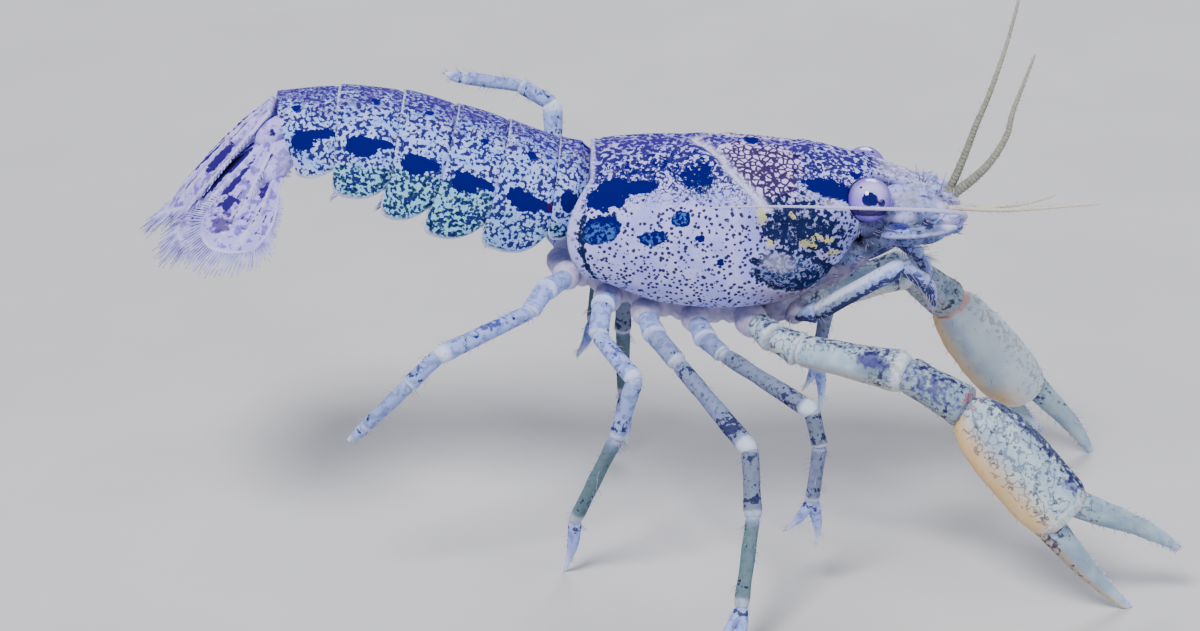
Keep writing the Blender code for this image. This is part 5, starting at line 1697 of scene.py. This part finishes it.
    def build(self) -> None:
        """Makes both claws, their bristles and their fingers' teeth."""
        hairs = Scatter("claw_bristles", seed=23)
        teeth = Scatter("claw_teeth", Form.GRAIN, seed=29)
        for side in Side:
            self.arm(side, hairs)
            self.hand(side, hairs, teeth)
        hairs.build(BRISTLE_FINISH, "claw")
        teeth.build(FEELER_FINISH, "claw")


@dataclass
class Feelers:
    """Two pairs of ringed feelers on jointed stems, with the leaf-shaped plates beside them."""

    short_stem: Rows = ((8.55, 0.55, 0.45), (9.7, 0.60, 0.56), (10.9, 0.68, 0.62), (11.9, 0.78, 0.70))
    short_radii: tuple[float, ...] = (0.34, 0.40, 0.37, 0.31)
    branches: dict = field(default_factory=lambda: {
        Side.LEFT: (
            ((11.6, 0.80, 15.45), (12.35, 0.92, 15.85), (12.90, 0.95, 17.10), (13.45, 0.98, 18.75),
             (14.00, 1.05, 20.20), (14.70, 1.30, 22.45), (15.30, 1.60, 24.98)),
            ((11.6, 0.80, 15.45), (12.60, 0.75, 15.75), (13.90, 0.55, 17.00), (14.70, 0.35, 18.45),
             (14.95, 0.20, 19.70), (15.75, 0.00, 22.25))),
        Side.RIGHT: (
            ((11.6, -0.80, 15.45), (12.50, -0.90, 15.65), (13.60, -0.95, 15.60), (15.15, -1.05, 15.62),
             (18.60, -1.20, 15.95)),
            ((12.2, -0.86, 15.58), (13.70, -0.80, 15.62), (15.40, -0.78, 15.78), (16.80, -0.75, 16.20))),
    })
    branch_radii: dict = field(default_factory=lambda: {
        Side.LEFT: ((0.21, 0.05), (0.27, 0.05)), Side.RIGHT: ((0.13, 0.04), (0.11, 0.04))})
    long_stem: Rows = ((8.55, 1.52, 0.05), (9.6, 1.54, 0.06), (10.9, 1.55, 0.10), (12.3, 1.52, 0.20))
    long_radii: tuple[float, ...] = (0.40, 0.46, 0.44, 0.38)
    sweeps: dict = field(default_factory=lambda: {
        Side.RIGHT: ((12.10, 1.52, 0.22), (12.75, 1.85, 0.66), (12.70, 2.50, 1.16), (11.80, 3.00, 1.48),
                     (10.20, 3.15, 1.62), (7.80, 3.50, 1.82), (5.40, 3.95, 2.05), (3.10, 4.25, 2.15),
                     (1.60, 4.45, 2.15)),
        Side.LEFT: ((12.10, 1.52, 0.22), (12.85, 1.90, 0.02), (12.70, 2.80, -0.28), (11.60, 3.30, -0.35),
                    (10.20, 3.40, -0.30), (7.80, 3.65, -0.10), (5.40, 4.05, 0.05), (3.10, 4.35, 0.15),
                    (1.60, 4.50, 0.20)),
    })
    scale_line: Rows = ((9.35, 2.40, 0.20), (9.9, 2.62, 0.32), (10.6, 2.74, 0.42), (11.4, 2.74, 0.52),
                        (12.0, 2.62, 0.57), (12.45, 2.55, 0.60))
    scale_widths: tuple[float, ...] = (0.24, 0.44, 0.54, 0.50, 0.34, 0.05)
    scale_grid: tuple[int, int] = (40, 36)
    ring_gap: float = 0.17
    ring_step: float = 0.026
    seta_radius: float = 0.036
    setae: tuple = (((11.9, -0.30, 1.45), (0.28, -0.05, 1.0), 1.15), ((12.45, -0.12, 1.05), (0.1, 0.0, 1.0), 0.5),
                    ((11.0, -0.30, 1.90), (-0.2, -0.2, 1.0), 0.55), ((11.1, -0.34, 1.86), (0.3, -0.3, 1.0), 0.5),
                    ((11.2, -0.30, 1.80), (0.6, -0.2, 0.9), 0.55), ((11.15, 0.05, 1.92), (0.1, 0.2, 1.0), 0.5),
                    ((10.9, 0.30, 1.92), (-0.1, 0.3, 1.0), 0.5), ((9.9, -0.55, 2.2), (0.2, -0.4, 0.9), 0.4),
                    ((10.4, -0.45, 2.1), (0.4, -0.4, 0.9), 0.4), ((11.6, -0.35, 1.6), (0.5, -0.5, 0.8), 0.4))

    def whip(self, shape: Shape, hairs: Scatter, line: Rows, radii: tuple[float, float], hair: float,
             pale: float = 0.0, lilac: float = 0.0) -> None:
        """Makes one ringed feeler.

        Args:
            shape: collects it.
            hairs: collects its bristles.
            line: its middle line.
            radii: its radius at root and tip.
            hair: its bristles' length.
            pale: how pale it is.
            lilac: how lilac it is.
        """
        path = smooth_rows(line, 400)
        run = np.concatenate(((0.0,), np.cumsum(np.linalg.norm(np.diff(path, axis=0), axis=1))))
        even = np.linspace(0.0, run[-1], int(run[-1] / self.ring_step))
        path = np.stack([np.interp(even, run, column) for column in path.T], axis=1)
        share = even / run[-1]
        ring = (even / self.ring_gap) % 1.0
        thick = (radii[0] + (radii[1] - radii[0]) * share**0.8) * (0.90 + 0.16 * np.sin(ring * math.pi))
        grid = tube(path, thick, thick, np.array((0.3, 0.9, 0.3)), 12)
        bands = 0.62 * (ring < 0.2) * (1.0 - 0.5 * share)
        shape.add(grid, {Mark.DARK: bands[:, None], Mark.PALE: np.maximum(0.4 * share, pale)[:, None],
                         Mark.RIM: lilac})
        sprinkle(hairs, grid, int(run[-1] * 9), hair, (0.02, 0.98), 0.010, 0.9)

    def stem(self, shape: Shape, hairs: Scatter, line: Rows, radii: Sequence[float], side: Side) -> None:
        """Makes a feeler's jointed stem.

        Args:
            shape: collects it.
            hairs: collects its bristles.
            line: its joints on the left side.
            radii: its radii at the joints.
            side: its side.
        """
        limb = Limb(on_body(line, side.value), radii, 24, 0.94)
        for index in range(3):
            grid, share, _ = limb.piece(index)
            shape.add(grid, face_marks(grid, 0.5 * ease(share, 0.88, 0.94)))
            sprinkle(hairs, grid, 30, 0.32)

    def scale(self, hairs: Scatter, side: Side) -> None:
        """Makes the leaf-shaped plate.

        Args:
            hairs: collects its bristles.
            side: its side.
        """
        steps, columns = self.scale_grid
        rows = smooth_rows(np.column_stack((on_body(self.scale_line, side.value), self.scale_widths)), steps)
        grid = tube(rows[:, :3], rows[:, 3], 0.08 + 0.24 * rows[:, 3], UP, columns)
        share = np.linspace(0.0, 1.0, steps)[:, None]
        rim = np.abs(np.cos(circle(columns)[None]))
        shape = Shape()
        grid = wobble(grid, 0.8, 0.05)
        shape.add(grid, face_marks(grid, np.maximum(0.4 * ease(rim, 0.85, 1.0), 0.5 * ease(share, 0.82, 0.95))))
        dress(shape.build(f"antennal_scale_{side.word}_shell"), HEAD_FINISH, "feeler",
              f"antennal_scale_{side.word}")
        inward = -LEFTWARDS * side.value
        for k in range(6, steps):
            hairs.add(rows[k, :3] + inward * rows[k, 3] * 0.95, inward + np.array((0.9, 0.0, 0.1)), 0.012, 0.42)

    def build(self) -> None:
        """Makes both sides' feelers, plates and bristles."""
        hairs = Scatter("feeler_bristles", seed=31)
        for side in Side:
            stems, short, long = Shape(), Shape(), Shape()
            self.stem(stems, hairs, self.short_stem, self.short_radii, side)
            for line, radii in zip(self.branches[side], self.branch_radii[side]):
                self.whip(short, hairs, line, radii, 0.24, 0.8 * float(side is Side.RIGHT))
            dress(short.build(f"antennule_{side.word}_shell"), FEELER_FINISH, "feeler", f"antennule_{side.word}")
            self.stem(stems, hairs, self.long_stem, self.long_radii, side)
            dress(stems.build(f"feeler_stems_{side.word}"), HEAD_FINISH, "feeler")
            self.whip(long, hairs, on_body(self.sweeps[side], side.value), (0.12, 0.035), 0.08, lilac=0.9)
            dress(long.build(f"antenna_{side.word}_shell"), FEELER_FINISH, "feeler", f"antenna_{side.word}")
            self.scale(hairs, side)
        for place, way, length in self.setae:
            hairs.add(on_body(place, 1.0), way, self.seta_radius, length)
        hairs.build(BRISTLE_FINISH, "feeler")


@dataclass
class Mouth:
    """The leg-like outer mouthparts, the jaws behind them and the lobes at the feelers' roots."""

    joints: Rows = ((5.7, 1.65, 11.1), (6.6, 2.05, 11.3), (10.2, 1.75, 13.3), (11.3, 1.55, 12.5), (11.7, 1.40, 11.3))
    radii: tuple[float, ...] = (0.45, 0.55, 0.47, 0.38, 0.15)
    bristles: tuple = ((10, 0.2), (60, 0.45), (70, 0.6), (60, 0.6))
    lobes: tuple = (((10.30, 0.95, 0.62), (1.85, 0.92, 1.08)), ((10.3, 0.72, 1.48), (1.60, 0.40, 0.40)),
                    ((10.3, 1.22, 0.98), (1.30, 0.40, 0.40)),
                    ((9.35, 1.75, -0.10), (0.85, 0.62, 0.52)), ((9.25, 0.95, 0.00), (0.90, 0.50, 0.50)),
                    ((8.75, 1.95, 0.42), (0.60, 0.50, 0.42)), ((9.95, 2.05, 0.22), (0.80, 0.42, 0.36)),
                    ((8.6, 0.75, -0.85), (0.80, 0.62, 0.50)), ((7.9, 1.35, -0.95), (0.90, 0.60, 0.62)),
                    ((11.35, 0.92, 0.90), (0.85, 0.38, 0.36)), ((10.5, 1.42, 0.52), (1.40, 0.38, 0.40)),
                    ((11.8, 1.28, 0.48), (0.70, 0.36, 0.36)), ((10.7, 1.80, -0.16), (1.30, 0.38, 0.36)),
                    ((12.35, 1.75, 0.42), (0.44, 0.40, 0.38)), ((12.15, 2.20, 0.70), (0.50, 0.30, 0.30)))
    jaws: tuple = (((5.0, 1.30, -3.62), (1.05, 0.62, 0.56)), ((5.75, 1.55, -3.62), (0.62, 0.56, 0.55)),
                   ((5.9, 0.72, -2.75), (1.0, 0.55, 0.62)), ((6.9, 0.66, -2.35), (0.95, 0.50, 0.60)),
                   ((7.75, 0.55, -1.90), (0.85, 0.46, 0.58)), ((8.45, 0.42, -1.50), (0.62, 0.40, 0.50)))

    def build(self) -> None:
        """Makes the mouthparts and their bristles."""
        hairs = Scatter("mouth_bristles", seed=37)
        jaws, lobes = Shape(), Shape()
        for side in Side:
            limb = Limb(np.array(self.joints) * (1.0, side.value, 1.0), self.radii, 26, 0.85)
            shape = Shape()
            for index in range(4):
                grid, share, turn = limb.piece(index, last=index == 3)
                shape.add(grid, {Mark.DARK: 0.80 * ease(-turn, -0.05, 0.5),
                                 Mark.BLOTCH: 0.9 * patch(share, turn, (0.5, 0.1), (0.2, 0.5)) * (index == 2),
                                 Mark.CLEAR: 0.8 * (1.0 - ease(share, 0.2, 0.9)) * (index < 2),
                                 Mark.PALE: ease(turn, 0.15, 0.6) * (0.3, 0.8, 0.5, 0.5)[index]})
                sprinkle(hairs, grid, *self.bristles[index])
            name = f"maxilliped_{side.word}"
            dress(shape.build(f"{name}_shell"), LEG_FINISH, "underside", name)
            for target, table, way in ((lobes, self.lobes, (1.0, 0.0, 0.12)), (jaws, self.jaws, (1.0, 0.0, 0.62))):
                for place, radii in table:
                    middle = on_body(place, side.value)
                    grid = wobble(wobble(ball(middle, radii, way, 32, 36), 0.7, 0.10), 0.3, 0.03)
                    # Each lobe and jaw is paler on its upper half, a painted highlight.
                    target.add(grid, face_marks(grid, 0.4 * ease(grid[..., 2], middle[2], middle[2] + radii[1])))
                    sprinkle(hairs, grid, 26, 0.42, thickness=0.02)
        dress(jaws.build("jaws"), UNDERSIDE_FINISH, "underside", "mouthparts")
        dress(lobes.build("snout_lobes"), HEAD_FINISH, "underside")
        hairs.build(BRISTLE_FINISH, "underside")


@dataclass
class Underside:
    """The chest's floor between the legs, with a groove between each pair and a swelling at each leg."""

    sections: Rows = (
        (-5.0, -1.60, -2.15, 0.75), (-4.2, -1.50, -2.60, 1.30), (-3.1, -1.50, -3.00, 1.35),
        (-1.9, -1.95, -3.55, 1.35), (-0.4, -2.50, -4.20, 1.35), (1.6, -2.72, -4.55, 1.35),
        (3.8, -2.70, -4.55, 1.35), (5.3, -2.50, -4.05, 1.30))
    grooves: tuple[float, ...] = (-3.2, -1.5, 0.35, 2.6, 4.8)
    sockets: Rows = ((3.83, 10.75, 0.95), (1.42, 10.80, 0.80), (-0.73, 11.10, 0.80), (-2.36, 11.75, 0.78),
                     (-4.15, 12.75, 0.74))

    def build(self) -> None:
        """Makes the chest's floor and the swellings that the legs come out of."""
        x = np.linspace(self.sections[0][0], self.sections[-1][0], 90)
        top, low, wide = read_at(self.sections, x)
        close = 1.0 - np.clip((np.abs(x - 0.15) - 4.85) / 0.35, 0.0, 1.0) ** 2 * 0.7
        turn = circle(48)
        side, rise = np.cos(turn), np.sin(turn)
        y = np.outer(wide * close, np.sign(side) * np.abs(side) ** 0.7)
        z = ((top + low) / 2)[:, None] + np.outer((top - low) / 2 * close, np.sign(rise) * np.abs(rise) ** 0.7)
        groove = np.max([hump(x, place, 0.28) for place in self.grooves], axis=0)
        z = z + 0.16 * groove[:, None] * (rise < -0.2) + 0.20 * np.exp(-((y / 0.2) ** 2)) * (rise < -0.2)
        grid = np.stack((np.broadcast_to(x[:, None], y.shape), y, z + BODY_HEIGHT), axis=2)
        shape = Shape()
        shape.add(wobble(grid, 1.0, 0.05), {Mark.DARK: 0.8 * groove[:, None], Mark.PALE: 0.4})
        for forward, height, size in self.sockets:
            for flank in Side:
                middle = np.array((forward, flank.value * 1.45, height))
                way = np.array((0.1, flank.value * 1.0, -0.22))
                shape.add(wobble(ball(middle, (size, size * 0.82, size * 0.78), way), 0.8, 0.05), {Mark.PALE: 0.5})
        dress(shape.build("chest_floor"), UNDERSIDE_FINISH, "underside", "sternum")


def main() -> None:
    """Builds the scene in order."""
    logging.basicConfig(level=logging.INFO, format="%(name)s %(message)s")
    for part in (Studio(), Carapace(), Abdomen(), TailFan(), Eyes(), Legs(), Claws(), Feelers(), Mouth(),
                 Underside()):
        part.build()
        LOG.info("%s built", type(part).__name__)


if __name__ == "__main__":
    main()
